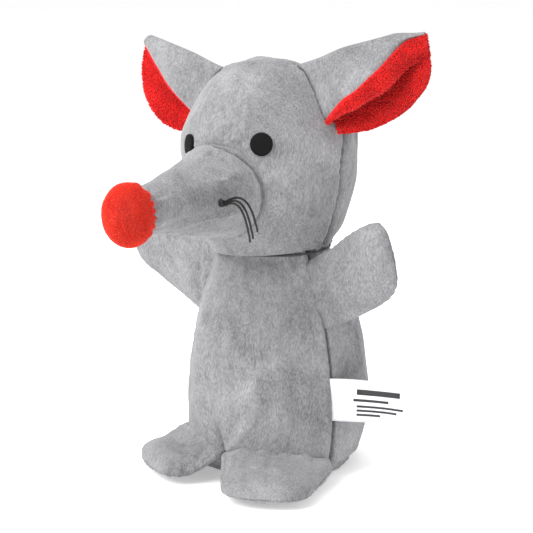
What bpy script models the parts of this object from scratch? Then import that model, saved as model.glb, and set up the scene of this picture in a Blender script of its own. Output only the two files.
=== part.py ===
"""Stuffed plush mouse with a long snout, standing upright on a flat round base.

The toy faces -Y, its left side is +X, the floor is Z = 0 and the origin is the middle of the base.
Every skin piece is a cloth panel of its own, laid over the stuffing with a small air gap at each seam.
"""
import math

import bpy
import numpy as np
from mathutils import Matrix, Vector

MM = 0.001

# Cloth and seams
CLOTH = 1.2 * MM           # thickness of the plush cloth
FELT = 1.0 * MM            # thickness of the ear cloths
SEAM = 0.3 * MM            # air between two sewn pieces
ROOT_GAP = 1.9 * MM        # room at the root of a limb, so that it can swing
TURN_STEPS = 32            # segments of a full turn

# Body
BODY_RADIUS = 48.0 * MM
NECK_HEIGHT = 115.0 * MM   # height of the seam between the body and the head
NECK_RADIUS = 30.0 * MM
DOME_RADIUS = 34.0 * MM    # the shoulders end in a ball that the head sits over
BASE_RADIUS = 38.4 * MM
FRONT_HALF_ANGLE = 72.0    # the front panel reaches this far round to each side
# (height / neck height, radius / body radius), from the floor up to where the shoulder ball starts
BODY_OUTLINE = [(0.003, 0.808), (0.020, 0.850), (0.045, 0.905), (0.085, 0.962), (0.16, 0.990),
                (0.29, 1.000), (0.41, 0.982), (0.53, 0.944), (0.695, 0.862), (0.80, 0.792)]

# Head, about the ball of the neck
HEAD_RADIUS = 47.0 * MM
HEAD_HEIGHT = 101.0 * MM   # from the neck seam to the crown
HEAD_ROLL = 5.0            # the head leans towards the toy's right
HEAD_TURN = -1.0           # and looks very slightly to the right
FACE_HALF_ANGLE = 96.0     # the face panel reaches to just behind the ears
HEAD_OUTLINE = [(0.095, 0.82), (0.25, 0.925), (0.45, 0.985), (0.60, 1.00), (0.69, 0.93),
                (0.775, 0.82), (0.855, 0.69), (0.925, 0.54), (0.97, 0.36), (0.995, 0.15),
                (1.0, 0.03)]

# Snout and nose
MUZZLE_HEIGHT = 151.0 * MM
MUZZLE_DROOP = 1.5         # the snout points slightly down
MUZZLE_BASE_RADIUS = 24.8 * MM
MUZZLE_TIP_RADIUS = 10.5 * MM
NOSE_REACH = 114.5 * MM    # from the head's axis to the middle of the nose
NOSE_RADIUS = 13.0 * MM
NOSE_MOUTH = 9.5 * MM      # radius of the nose's open back

# Eyes and whiskers
EYE_SIDE = 24.0 * MM
EYE_HEIGHT = 172.5 * MM
EYE_RADIUS = 4.6 * MM
EYE_THICK = 0.8 * MM
THREAD_RADIUS = 0.5 * MM
WHISKER_LENGTH = 33.0 * MM
KNOT_RADIUS = 1.6 * MM

# Ears: the ridge is the folded upper edge, and both flaps hang from it
EAR_ROOT_TOP = (26.0 * MM, 4.0 * MM, 209.0 * MM)
EAR_ROOT_END = (46.5 * MM, 3.0 * MM, 177.0 * MM)
EAR_RIDGES = {1: (64.0 * MM, 9.0 * MM, 13.5 * MM), -1: (54.0 * MM, 9.4 * MM, 17.0 * MM)}
EAR_HANG = (0.45, -0.20, -0.87)
EAR_FOLD = 3.0 * MM        # radius of the fold
EAR_OPEN = 24.0            # how far the front flap stands off the rear one, away from the root
EAR_SWING = 15.0           # how far the ear folds forwards and back about its root
# (distance along the ridge, width of the rear flap, width of the front flap), as fractions of the ridge
EAR_OUTLINE = [(-0.02, 0.56, 0.44), (0.09, 0.61, 0.44), (0.25, 0.65, 0.39), (0.42, 0.65, 0.32),
               (0.58, 0.59, 0.24), (0.72, 0.52, 0.18), (0.84, 0.42, 0.12), (0.93, 0.28, 0.07),
               (0.985, 0.13, 0.04)]

# Arms, sewn into the side seams just below the neck
ARM_ROOT_LOW = 75.0 * MM
ARM_ROOT_TALL = 36.0 * MM
ARM_LENGTH = 47.5 * MM
ARM_WIDTH = 43.0 * MM
ARM_THICK = 18.0 * MM
ARM_RISES = {1: 33.0, -1: 15.0}   # left and right arm

# Feet
FOOT_SPLAY = 33.0
FOOT_REACH = 73.0 * MM     # from the body's axis to the toe
FOOT_WIDTH = 52.0 * MM
FOOT_TALL = 20.0 * MM
FOOT_SEAM = 5.0 * MM       # height of the seam round the toe
FOOT_ROOT_HEIGHT = 17.0 * MM

# Label in the left side seam
LABEL_TALL = 22.0 * MM
LABEL_LONG = 40.0 * MM
LABEL_THICK = 0.6 * MM
LABEL_HEIGHT = 43.0 * MM
LABEL_ANGLE = 18.0

BALL = NECK_HEIGHT - math.sqrt(DOME_RADIUS**2 - NECK_RADIUS**2)   # height of the neck's pivot
HEAD_FROM = DOME_RADIUS + 0.9 * MM                                # radius of the head's hollow

COLOURS = {
    "grey_plush": (0.40, 0.40, 0.41, 1.0),
    "red_plush": (0.80, 0.045, 0.025, 1.0),
    "red_felt": (0.86, 0.075, 0.030, 1.0),
    "black_thread": (0.012, 0.012, 0.014, 1.0),
    "grey_thread": (0.25, 0.25, 0.26, 1.0),
    "white_satin": (0.86, 0.86, 0.84, 1.0),
    "white_fibre": (0.82, 0.82, 0.80, 1.0),
}


# ---------------------------------------------------------------- scene and helpers
def collection(name, hidden=False):
    """A collection of that name in the scene."""
    found = bpy.data.collections.new(name)
    bpy.context.scene.collection.children.link(found)
    found.hide_render = hidden
    return found


def material(name, colour):
    """A plain Principled material."""
    made = bpy.data.materials.new(name)
    made.use_nodes = True
    shader = made.node_tree.nodes["Principled BSDF"]
    shader.inputs["Base Color"].default_value = colour
    shader.inputs["Roughness"].default_value = 0.9
    return made


def place(name, mesh, colour, matrix=None):
    """Link a mesh as a named sub-part with a material of its own; without a colour it is a cutter."""
    obj = bpy.data.objects.new(name, mesh)
    if matrix is not None:
        obj.matrix_world = matrix
    if colour is None:
        CUTTERS.objects.link(obj)
        obj.display_type = "WIRE"
        obj.hide_render = True
    else:
        PARTS.objects.link(obj)
        mesh.materials.append(material(name, COLOURS[colour]))
    return obj


def smooth(points, count):
    """That many points on a smooth line through the given ones, evenly spaced along it."""
    p = np.array(points, float)
    ends = np.vstack([2 * p[0] - p[1], p, 2 * p[-1] - p[-2]])
    line = []
    for a, b, c, d in zip(ends[:-3], ends[1:-2], ends[2:-1], ends[3:]):
        for t in np.linspace(0, 1, 12, endpoint=False):
            line.append(0.5 * (2 * b + (c - a) * t + (2 * a - 5 * b + 4 * c - d) * t**2
                               + (3 * b - a - 3 * c + d) * t**3))
    line = np.array(line + [p[-1]])
    run = np.concatenate([[0], np.cumsum(np.linalg.norm(np.diff(line, axis=0), axis=1))])
    at = np.linspace(0, run[-1], count)
    return np.column_stack([np.interp(at, run, line[:, k]) for k in range(p.shape[1])])


def inset(outline, depth):
    """An outline of (radius, height) points that runs upwards, moved towards its inner side."""
    p = np.array(outline, float)
    t = np.gradient(p, axis=0)
    t /= np.linalg.norm(t, axis=1)[:, None]
    return p + depth * np.column_stack([-t[:, 1], t[:, 0]])


def turned(name, outline, colour, matrix=None, sweep=360.0, cloth=0.0, steps=TURN_STEPS):
    """A form turned about Z. The outline of (radius, height) points runs from its top to its foot."""
    mesh = bpy.data.meshes.new(name)
    mesh.from_pydata([(r, 0.0, z) for r, z in outline],
                     [(i, i + 1) for i in range(len(outline) - 1)], [])
    obj = place(name, mesh, colour, matrix)
    turn = obj.modifiers.new("turn", "SCREW")
    turn.axis = "Z"
    turn.angle = math.radians(sweep)
    turn.steps = turn.render_steps = max(5, round(steps * sweep / 360.0))
    turn.use_merge_vertices = True
    turn.merge_threshold = 0.00001
    turn.use_smooth_shade = False
    if cloth:
        skin = obj.modifiers.new("cloth", "SOLIDIFY")
        skin.thickness = cloth
        skin.offset = -1.0
        skin.use_even_offset = True
    return obj


def wedge(name, outline, colour, middle, half, matrix, cloth=CLOTH):
    """A turned panel that reaches the given angle to both sides of its middle, with half a seam free."""
    out = SEAM / 2 / math.sin(math.radians(half))
    turn = Matrix.Rotation(math.radians(middle - half), 4, "Z")
    move = Matrix.Translation(Matrix.Rotation(math.radians(middle), 4, "Z") @ Vector((out, 0, 0)))
    return turned(name, outline, colour, matrix @ move @ turn, 2 * half, cloth)


def slab(name, outer, inner, colour, matrix=None):
    """A closed piece between two grids of points that have the same rows and columns."""
    rows, cols = outer.shape[:2]
    at = lambda side, i, j: side * rows * cols + i * cols + j
    faces = []
    for i in range(rows - 1):
        for j in range(cols - 1):
            faces.append([at(0, i, j), at(0, i, j + 1), at(0, i + 1, j + 1), at(0, i + 1, j)])
            faces.append([at(1, i, j), at(1, i + 1, j), at(1, i + 1, j + 1), at(1, i, j + 1)])
    ring = ([(0, j) for j in range(cols - 1)] + [(i, cols - 1) for i in range(rows - 1)]
            + [(rows - 1, j) for j in range(cols - 1, 0, -1)] + [(i, 0) for i in range(rows - 1, 0, -1)])
    for a, b in zip(ring, ring[1:] + ring[:1]):
        faces.append([at(0, *b), at(0, *a), at(1, *a), at(1, *b)])
    mesh = bpy.data.meshes.new(name)
    mesh.from_pydata([tuple(p) for p in np.concatenate([outer.reshape(-1, 3), inner.reshape(-1, 3)])],
                     [], faces)
    return place(name, mesh, colour, matrix)


def loft(name, rings, colour, matrix=None):
    """A closed piece through rings of points, with a flat face at both ends."""
    rows, cols = rings.shape[:2]
    faces = [[i * cols + j, i * cols + (j + 1) % cols, (i + 1) * cols + (j + 1) % cols,
              (i + 1) * cols + j] for i in range(rows - 1) for j in range(cols)]
    faces += [list(range(cols))[::-1], [(rows - 1) * cols + j for j in range(cols)]]
    mesh = bpy.data.meshes.new(name)
    mesh.from_pydata([tuple(p) for p in rings.reshape(-1, 3)], [], faces)
    return place(name, mesh, colour, matrix)


def face_out(obj):
    """Turn a hand-lofted piece's faces outwards, whichever side of the toy it is on."""
    mesh = obj.data
    mesh.calc_loop_triangles()
    p = [v.co for v in mesh.vertices]
    volume = sum(p[a].dot(p[b].cross(p[c])) for a, b, c in (t.vertices for t in mesh.loop_triangles))
    if volume < 0:
        mesh.flip_normals()
    return obj


def cut(obj, *cutters):
    """Take the cutters' forms out of a piece."""
    for cutter in cutters:
        step = obj.modifiers.new("cut", "BOOLEAN")
        step.operation = "DIFFERENCE"
        step.solver = "EXACT"
        step.object = cutter
    return obj


def basis(x, y, z, at):
    """The matrix of a frame with those three directions at a point."""
    m = Matrix((x, y, z)).transposed().to_4x4()
    m.translation = at
    return m


# ---------------------------------------------------------------- body
def ball_arc(radius, from_height, to_height, count=8):
    """(radius, height) points on a ball about the neck's pivot, upwards."""
    z = np.linspace(from_height, to_height, count)
    return np.column_stack([np.sqrt(np.maximum(radius**2 - (z - BALL) ** 2, 0.0)), z])


def body_outline():
    """The body's outer line from the floor to the neck seam, upwards."""
    side = [(BODY_RADIUS * r, NECK_HEIGHT * h) for h, r in BODY_OUTLINE]
    top = ball_arc(DOME_RADIUS, BALL + 0.12 * DOME_RADIUS, NECK_HEIGHT - SEAM, 5)
    return smooth(side + [tuple(p) for p in top], 15)


def body_form(name, grow):
    """The body's outline as a solid cutter, larger all round by that much."""
    line = inset(body_outline(), -grow)
    crown = ball_arc(DOME_RADIUS + grow, NECK_HEIGHT + 2 * MM, BALL + DOME_RADIUS + grow, 7)
    whole = [(0.0, -grow)] + [(line[0, 0], -grow)] + list(line[1:]) + list(crown)
    return turned(name, np.array(whole)[::-1], None)


def build_body():
    """Front panel, two back panels, the flat base and the stuffing with its neck ball."""
    line = body_outline()
    here = Matrix.Identity(4)
    back = (180.0 - FRONT_HALF_ANGLE) / 2
    wedge("body_front_panel", line[::-1], "grey_plush", -90.0, FRONT_HALF_ANGLE, here)
    wedge("body_back_left_panel", line[::-1], "grey_plush", 90.0 - back, back, here)
    wedge("body_back_right_panel", line[::-1], "grey_plush", 90.0 + back, back, here)
    base = [(0.0, CLOTH), (BASE_RADIUS - 1.2 * CLOTH, CLOTH), (BASE_RADIUS - SEAM, 0.35 * CLOTH),
            (BASE_RADIUS - 1.5 * SEAM, 0.0), (0.0, 0.0)]
    turned("body_base_panel", base, "grey_plush")
    core = inset(line, CLOTH + SEAM)
    low = CLOTH + SEAM
    core = core[core[:, 1] > low + 0.4 * MM]
    dome = ball_arc(DOME_RADIUS - CLOTH - SEAM, NECK_HEIGHT, BALL + DOME_RADIUS - CLOTH - SEAM, 9)
    whole = [(0.0, low), (min(core[0, 0], BASE_RADIUS) - 2.2 * MM, low)] + list(core) + list(dome)
    turned("body_stuffing", np.array(whole)[::-1], "white_fibre")


def build_neck():
    """The ring of thread that draws the neck in, lying on the shoulder ball above the panels."""
    ring = DOME_RADIUS - 0.5 * MM - SEAM
    tilt = math.asin((NECK_HEIGHT + 0.9 * MM - BALL) / ring)
    bpy.ops.mesh.primitive_torus_add(
        major_radius=ring * math.cos(tilt), minor_radius=0.5 * MM, major_segments=40,
        minor_segments=8, location=(0.0, 0.0, BALL + ring * math.sin(tilt)))
    obj = bpy.context.active_object
    for held in list(obj.users_collection):
        held.objects.unlink(obj)
    obj.name = obj.data.name = "neck_thread"
    obj.data.materials.append(material("neck_thread", COLOURS["grey_thread"]))
    PARTS.objects.link(obj)


# ---------------------------------------------------------------- head
def head_matrix():
    """The head's frame: at the neck's pivot, leaning and turned a little."""
    return (Matrix.Translation((0.0, 0.0, BALL)) @ Matrix.Rotation(math.radians(HEAD_TURN), 4, "Z")
            @ Matrix.Rotation(math.radians(-HEAD_ROLL), 4, "Y"))


def muzzle_frame():
    """The snout's frame within the head's: its Z runs forwards and a little down from the head's axis."""
    pivot = Matrix.Translation((0.0, -HEAD_RADIUS, 0.0))
    droop = pivot @ Matrix.Rotation(math.radians(MUZZLE_DROOP), 4, "X") @ pivot.inverted()
    return (Matrix.Translation(head_point(0, 0, MUZZLE_HEIGHT)) @ droop
            @ Matrix.Rotation(math.radians(90), 4, "X"))


def head_point(x, y, z):
    """A point of the upright head, given in the toy's frame, as a point of the head's own frame."""
    return Vector((x, y, z - BALL))


def head_outline():
    """The head's outer line from the neck seam to the crown, upwards, in the head's own frame."""
    low = HEAD_FROM / DOME_RADIUS
    first = (NECK_RADIUS * low, (NECK_HEIGHT - BALL) * low)
    side = [(HEAD_RADIUS * r, NECK_HEIGHT - BALL + HEAD_HEIGHT * h) for h, r in HEAD_OUTLINE]
    side[0] = (max(side[0][0], 1.28 * NECK_RADIUS), side[0][1])
    return smooth([first] + side, 15)


def head_form(name, grow, matrix):
    """The head's outline as a solid cutter, larger all round by that much."""
    line = inset(head_outline(), -grow)
    whole = [(0.0, line[0, 1])] + list(line) + [(0.0, line[-1, 1])]
    return turned(name, np.array(whole)[::-1], None, matrix)


def head_width(z):
    """The head's radius at a height in its own frame."""
    line = head_outline()
    return float(np.interp(z, line[:, 1], line[:, 0]))


def muzzle_outline():
    """The snout's outer line from the nose to its seam, along its own axis, as (radius, reach)."""
    base, tip = MUZZLE_BASE_RADIUS, MUZZLE_TIP_RADIUS
    start, end = HEAD_RADIUS - 9 * MM, NOSE_REACH - 0.62 * NOSE_RADIUS
    long = end - start
    return smooth([(base, start), (base * 1.0, start + 0.14 * long), (base * 0.945, start + 0.27 * long),
                   (base * 0.78, start + 0.50 * long), (tip + 0.21 * (base - tip), start + 0.80 * long),
                   (tip, end)], 9)


def build_muzzle(head):
    """Snout skin and stuffing, nose ball and its stuffing, all turned about the snout's axis."""
    axis = head @ muzzle_frame()
    line = muzzle_outline()
    core = inset(line, CLOTH + SEAM)
    skin = inset(line, CLOTH)
    shell = turned("muzzle_panel", list(line[::-1]) + list(skin) + [tuple(line[-1])], "grey_plush", axis)
    cut(shell, head_form("head_for_muzzle", 1.6 * SEAM, head))
    inner = turned("muzzle_stuffing", np.array([(0.0, core[0, 1])] + list(core)
                                               + [(0.0, core[-1, 1])])[::-1], "white_fibre", axis)
    cut(inner, head_form("head_core_for_muzzle", -CLOTH, head))
    mouth = math.asin(NOSE_MOUTH / NOSE_RADIUS)
    ball = [(NOSE_RADIUS * math.sin(a), NOSE_REACH + NOSE_RADIUS * math.cos(a))
            for a in np.linspace(0.0, math.pi - mouth, 11)]
    lip = NOSE_RADIUS - CLOTH
    hollow = [(lip * math.sin(a), NOSE_REACH + lip * math.cos(a))
              for a in np.linspace(math.pi - mouth - 0.04, 0.0, 11)]
    clear = turned("muzzle_for_nose", np.array([(0.0, line[0, 1])] + list(inset(line, -SEAM))
                                               + [(0.0, line[-1, 1] + SEAM)])[::-1], None, axis)
    cut(turned("nose_cap", ball + hollow, "red_felt", axis, steps=24), clear)
    fill = NOSE_RADIUS - CLOTH - SEAM
    round_ = [(fill * math.sin(a), NOSE_REACH + fill * math.cos(a)) for a in np.linspace(0, math.pi, 12)]
    cut(turned("nose_stuffing", round_, "white_fibre", axis, steps=24), clear)


def build_eyes(head):
    """Two small round pads of black embroidery on the face."""
    for side, name in ((1, "eye_left"), (-1, "eye_right")):
        z = EYE_HEIGHT - BALL
        r = head_width(z)
        apart = MUZZLE_BASE_RADIUS + EYE_RADIUS + CLOTH
        up = min(apart, max(0.0, z + BALL - MUZZLE_HEIGHT))
        turn = math.asin(min(0.9, max(EYE_SIDE, math.sqrt(apart**2 - up**2)) / r)) * side
        out = Vector((math.sin(turn), -math.cos(turn), 0.0))
        slope = (head_width(z + 2 * MM) - head_width(z - 2 * MM)) / (4 * MM)
        normal = (out - Vector((0, 0, slope))).normalized()
        at = Vector((0, 0, z)) + out * r + normal * (SEAM + 0.15 * MM)
        disc = [(0.0, EYE_THICK), (0.72 * EYE_RADIUS, 0.93 * EYE_THICK),
                (EYE_RADIUS, 0.45 * EYE_THICK), (0.95 * EYE_RADIUS, 0.0), (0.0, 0.0)]
        lie = normal.to_track_quat("Z", "Y").to_matrix().to_4x4()
        turned(name, disc, "black_thread", head @ Matrix.Translation(at) @ lie, steps=24)


def muzzle_at(reach, angle):
    """A point on the snout's skin in the head's frame, and its outward direction."""
    line = muzzle_outline()
    r = float(np.interp(reach, line[:, 1], line[:, 0]))
    frame = muzzle_frame()
    out = frame.to_3x3() @ Vector((math.cos(angle), math.sin(angle), 0.0))
    return frame @ Vector((0.0, 0.0, reach)) + out * r, out


def tube(name, points, radius, colour, matrix):
    """A round thread along a line of points, closed at both ends."""
    curve = bpy.data.curves.new(name, "CURVE")
    curve.dimensions = "3D"
    curve.bevel_depth = radius
    curve.bevel_resolution = 1
    curve.use_fill_caps = True
    line = curve.splines.new("POLY")
    line.points.add(len(points) - 1)
    for point, at in zip(line.points, points):
        point.co = (*at, 1.0)
    held = bpy.data.objects.new(name, curve)
    PARTS.objects.link(held)
    mesh = bpy.data.meshes.new_from_object(held.evaluated_get(bpy.context.evaluated_depsgraph_get()))
    bpy.data.objects.remove(held)
    bpy.data.curves.remove(curve)
    return place(name, mesh, colour, matrix)


def build_whiskers(head):
    """A knot on each cheek of the snout and three waxed threads that spring from it."""
    for side, word in ((1, "left"), (-1, "right")):
        knot, out = muzzle_at(0.60 * NOSE_REACH, math.radians(-4))
        knot.x *= side
        out.x *= side
        ball = [(KNOT_RADIUS * math.sin(a), KNOT_RADIUS * math.cos(a)) for a in np.linspace(0, math.pi, 7)]
        turned(f"whisker_knot_{word}", ball, "black_thread",
               head @ Matrix.Translation(knot + out * (KNOT_RADIUS + SEAM)), steps=12)
        for i, (turn, lift, drop) in enumerate(((28, 5.0, 23.0), (48, 3.5, 25.0), (68, 6.0, 21.0)), 1):
            start = knot + out * (KNOT_RADIUS + SEAM)
            way = Vector((side * math.cos(math.radians(turn)), math.sin(math.radians(turn)), 0.0))
            points = []
            for t in np.linspace(0.0, 1.0, 10):
                rise = lift * MM * math.sin(math.pi * min(1.0, 1.6 * t)) - drop * MM * t**1.8
                points.append(start + way * (KNOT_RADIUS + 2.6 * MM + 0.47 * WHISKER_LENGTH * t)
                              + Vector((0, 0, rise + (i - 2) * 0.6 * MM)))
            tube(f"whisker_{word}_{i}", points, THREAD_RADIUS, "black_thread", head)


def ear_section(rear, front, depth, fold, opening, count=6):
    """One cross-section of the folded ear, from the rear flap's edge over the fold to the front one's.

    Points are (along the flaps' hang, forwards), moved towards the outside by the depth."""
    swing = math.pi - opening
    points, normals = [], []
    for t in np.linspace(rear, 0.0, count, endpoint=False):
        points.append((t, 0.0))
        normals.append((0.0, -1.0))
    for a in np.linspace(0.0, swing, 6):
        points.append((-fold * math.sin(a), fold * (1 - math.cos(a))))
        normals.append((-math.sin(a), -math.cos(a)))
    last, way = points[-1], (-math.cos(swing), math.sin(swing))
    for t in np.linspace(0.0, front, count + 1)[1:]:
        points.append((last[0] + way[0] * t, last[1] + way[1] * t))
        normals.append((-way[1], way[0]))
    return np.array(points) + depth * np.array(normals)


def ear_grid(side, depth):
    """The folded ear's surface at a depth, as a grid of points in the head's frame.

    The two flaps lie almost flat on each other in the root's seam and open further out."""
    ridge = Vector(EAR_RIDGES[side])
    long, along = ridge.length, ridge.normalized()
    hang = (Vector(EAR_HANG) - along * Vector(EAR_HANG).dot(along)).normalized()
    forward = hang.cross(along) if hang.cross(along).y < 0 else along.cross(hang)
    start = head_point(*EAR_ROOT_TOP)
    rows = []
    for s, rear, front in smooth(EAR_OUTLINE, 13):
        free = min(1.0, max(0.0, s / 0.4))
        free = free * free * (3 - 2 * free)
        line = ear_section(rear * long, max(front * long, 1.2 * MM), depth,
                           EAR_FOLD * (0.5 + 0.5 * free), math.radians(EAR_OPEN * (0.1 + 0.9 * free)))
        rows.append([start + along * s * long + hang * (EAR_FOLD + h) + forward * f for h, f in line])
    grid = np.array([[tuple(p) for p in row] for row in rows])
    grid[..., 0] *= side
    return grid


def ear_clearances(side, word, head):
    """The head's form as the ear meets it when it is folded fully to each side."""
    top, end = (head_point(x * side, y, z) for x, y, z in (EAR_ROOT_TOP, EAR_ROOT_END))
    forms = []
    for i, angle in enumerate((EAR_SWING + 1.0, -EAR_SWING - 1.0)):
        turn = Matrix.Rotation(math.radians(angle), 4, (end - top).normalized())
        matrix = head @ Matrix.Translation(top) @ turn @ Matrix.Translation(-top)
        forms.append(head_form(f"head_for_ear_{word}_{i}", 3.1 * SEAM, matrix))
    return forms


def build_ears(head):
    """Grey outer cloth and red lining of each ear, folded along the ridge."""
    for side, word in ((1, "left"), (-1, "right")):
        keep = ear_clearances(side, word, head)
        middle, skin = ear_grid(side, SEAM / 2), ear_grid(side, SEAM / 2 + FELT)
        under, lining = ear_grid(side, -SEAM / 2), ear_grid(side, -SEAM / 2 - FELT)
        cut(face_out(slab(f"ear_{word}_outer", skin, middle, "grey_plush", head)), *keep)
        cut(face_out(slab(f"ear_{word}_lining", under, lining, "red_plush", head)), *keep)


def build_head():
    """The face panel with the snout's hole, two back panels, the stuffing and all that they carry."""
    head = head_matrix()
    line = head_outline()
    back = (180.0 - FACE_HALF_ANGLE) / 2
    hole = MUZZLE_BASE_RADIUS - CLOTH
    face = wedge("face_panel", line[::-1], "grey_plush", -90.0, FACE_HALF_ANGLE, head)
    opening = turned("muzzle_hole", [(0.0, HEAD_RADIUS * 1.5), (hole, HEAD_RADIUS * 1.5), (hole, 0.0),
                                     (0.0, 0.0)], None,
                     head @ muzzle_frame())
    cut(face, opening)
    wedge("head_back_left_panel", line[::-1], "grey_plush", 90.0 - back, back, head)
    wedge("head_back_right_panel", line[::-1], "grey_plush", 90.0 + back, back, head)
    core = inset(line, CLOTH + SEAM)
    hollow = HEAD_FROM + 0.3 * MM
    core = core[np.hypot(core[:, 0], core[:, 1]) > hollow + 1.2 * MM]
    rim = math.atan2(core[0, 0], core[0, 1])
    cup = [(hollow * math.sin(a), hollow * math.cos(a)) for a in np.linspace(0.0, rim, 12)]
    whole = cup + list(core) + [(0.0, core[-1, 1])]
    turned("head_stuffing", np.array(whole)[::-1], "white_fibre", head)
    build_muzzle(head)
    build_eyes(head)
    build_whiskers(head)
    build_ears(head)


# ---------------------------------------------------------------- arms and feet
def limb_rings(stations, count=16):
    """Rings of a soft limb: stations are (along, half width, rise, drop, seam height).

    Returns the rings as (along, across, up) points, each from one seam over the top to the other seam
    and back below."""
    rings = []
    for along, wide, rise, drop, seam in stations:
        ring = []
        for a in np.linspace(0.0, 2 * math.pi, count, endpoint=False):
            c, s = math.cos(a), math.sin(a)
            up = rise * abs(s) ** 0.85 if s >= 0 else -drop * abs(s) ** 0.7
            ring.append((along, wide * math.copysign(abs(c) ** 0.85, c), seam + up))
        rings.append(ring)
    return np.array(rings)


def limb(name, stations, colours, matrix, side, cutter, words):
    """Two cloth panels and the stuffing of a limb."""
    def tipped(shrink):
        own = np.array(stations, float)
        along, wide, rise, drop, seam = own.T.copy()
        tip = np.clip((along - along[-7]) / (along[-1] - along[-7]), 0.0, 1.0)
        own[:, 0] = along - shrink * tip
        least = 0.30 - 0.08 * shrink / MM
        for k, size, line in ((1, wide, None), (2, rise, seam + rise), (3, drop, seam - drop)):
            slant = 0.0 if line is None else np.gradient(line, along) * (tip == 0)
            own[:, k] = np.maximum(size - shrink * np.minimum(np.hypot(1.0, slant), 2.4), least * size)
        return limb_rings(own)

    half = tipped(0.0).shape[1] // 2
    outer, inner, core = tipped(0.0), tipped(CLOTH), tipped(CLOTH + SEAM)
    upper, lower = np.arange(0, half + 1), np.arange(half, 2 * half + 1) % (2 * half)
    for word, part, up in ((words[0], upper, 1), (words[1], lower, -1)):
        a, b = outer[:, part].copy(), inner[:, part].copy()
        a[..., 2] += up * SEAM / 2
        b[..., 2] += up * SEAM / 2
        cut(face_out(slab(f"{name}_{word}", a, b, colours[0], matrix)), cutter)
    cut(face_out(loft(f"{name}_stuffing", core, colours[1], matrix)), cutter)


def cap_stations(start, end, wide, rise, drop, seam, count=6):
    """The rounded end of a limb."""
    return [(start + (end - start) * math.sin(a), wide * math.cos(a), rise * math.cos(a),
             drop * math.cos(a), seam) for a in np.linspace(0.0, math.radians(86), count)]


def build_arms():
    """Mittens in the side seams, raised a little; the root is pinched flat by the seam."""
    line = body_outline()
    radius = lambda z: float(np.interp(z, line[:, 1], line[:, 0]))
    middle = ARM_ROOT_LOW + ARM_ROOT_TALL / 2
    wide, thick = ARM_WIDTH / 2, ARM_THICK / 2
    root = ARM_ROOT_TALL / 2
    inside = 9 * MM
    neck = [(-inside, root, 2.6 * MM, 2.6 * MM, 0.0), (1 * MM, root, 3.0 * MM, 3.0 * MM, 0.0),
            (0.16 * ARM_LENGTH, 0.90 * wide, 0.72 * thick, 0.72 * thick, 0.0),
            (0.32 * ARM_LENGTH, 0.95 * wide, 0.93 * thick, 0.93 * thick, 0.0)]
    end = cap_stations(0.52 * ARM_LENGTH, ARM_LENGTH, wide, thick, thick, 0.0)
    stations = [tuple(s) for s in smooth(neck + end[:1], 7)] + end[1:]
    keep = body_form("body_for_arms", ROOT_GAP)
    for side, word in ((1, "left"), (-1, "right")):
        seam, rise = math.radians(FRONT_HALF_ANGLE), math.radians(ARM_RISES[side])
        at = Vector((side * radius(middle) * math.sin(seam), -radius(middle) * math.cos(seam), middle))
        out = Vector((side * math.cos(rise), 0.0, math.sin(rise)))
        front = Vector((0.0, -1.0, 0.0))
        limb(f"arm_{word}", stations, ("grey_plush", "white_fibre"),
             basis(out, front.cross(out), front, at), side, keep, ("front_panel", "back_panel"))


def build_feet():
    """Flat pads on the front edge of the base; their sole lies on the floor."""
    line = body_outline()
    root = float(np.interp(FOOT_ROOT_HEIGHT, line[:, 1], line[:, 0]))
    long = FOOT_REACH - root
    wide = FOOT_WIDTH / 2
    start = [(-7 * MM, 0.80 * wide, 2.4 * MM, 2.4 * MM, FOOT_ROOT_HEIGHT),
             (2.2 * MM, 0.88 * wide, 2.9 * MM, 2.9 * MM, FOOT_ROOT_HEIGHT)]
    full = (0.38 * long, wide, FOOT_TALL - FOOT_SEAM, FOOT_SEAM, FOOT_SEAM)
    low = (0.24 * long, 0.96 * wide, 0.62 * (FOOT_TALL - FOOT_SEAM), 1.45 * FOOT_SEAM,
           1.55 * FOOT_SEAM)
    end = cap_stations(full[0], long, *full[1:])
    stations = [tuple(s) for s in smooth(start + [low, full], 7)] + end[1:]
    stations = [(a, w, r, min(d, s), s) for a, w, r, d, s in stations]
    keep = body_form("body_for_feet", ROOT_GAP)
    for side, word in ((1, "left"), (-1, "right")):
        turn = math.radians(FOOT_SPLAY) * side
        out = Vector((math.sin(turn), -math.cos(turn), 0.0))
        up = Vector((0.0, 0.0, 1.0))
        limb(f"foot_{word}", stations, ("grey_plush", "white_fibre"),
             basis(out, up.cross(out), up, out * root + up * SEAM / 2), side, keep,
             ("top_panel", "sole_panel"))


# ---------------------------------------------------------------- label
def build_label():
    """A loop of satin tape in the left side seam, pressed flat, with a soft bend."""
    line = body_outline()
    r = float(np.interp(LABEL_HEIGHT, line[:, 1], line[:, 0])) + SEAM + LABEL_THICK
    seam = math.radians(FRONT_HALF_ANGLE)
    start = Vector((r * math.sin(seam), -r * math.cos(seam), 0.0))
    way = math.radians(LABEL_ANGLE)
    out, across = Vector((math.cos(way), math.sin(way), 0)), Vector((-math.sin(way), math.cos(way), 0))
    sides = []
    for half in (-LABEL_THICK / 2, LABEL_THICK / 2):
        rows = []
        for t in np.linspace(0.0, 1.0, 9):
            bend = 1.6 * MM * math.sin(math.pi * t) + half
            rows.append([tuple(start + out * LABEL_LONG * t + across * bend
                               + Vector((0, 0, LABEL_HEIGHT + LABEL_TALL * (k / 4 - 0.5))))
                         for k in range(5)])
        sides.append(rows)
    face_out(slab("label", np.array(sides[0]), np.array(sides[1]), "white_satin"))


for old in list(bpy.data.objects):
    bpy.data.objects.remove(old)
PARTS = collection("plush_mouse")
CUTTERS = collection("cutters", hidden=True)
build_body()
build_neck()
build_head()
build_arms()
build_feet()
build_label()
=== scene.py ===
"""Looks of a stuffed plush mouse: pile cloth over soft filling, lined ears, felt nose, thread and label."""

import logging
import math
from dataclasses import dataclass, field
from enum import Enum

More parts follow.
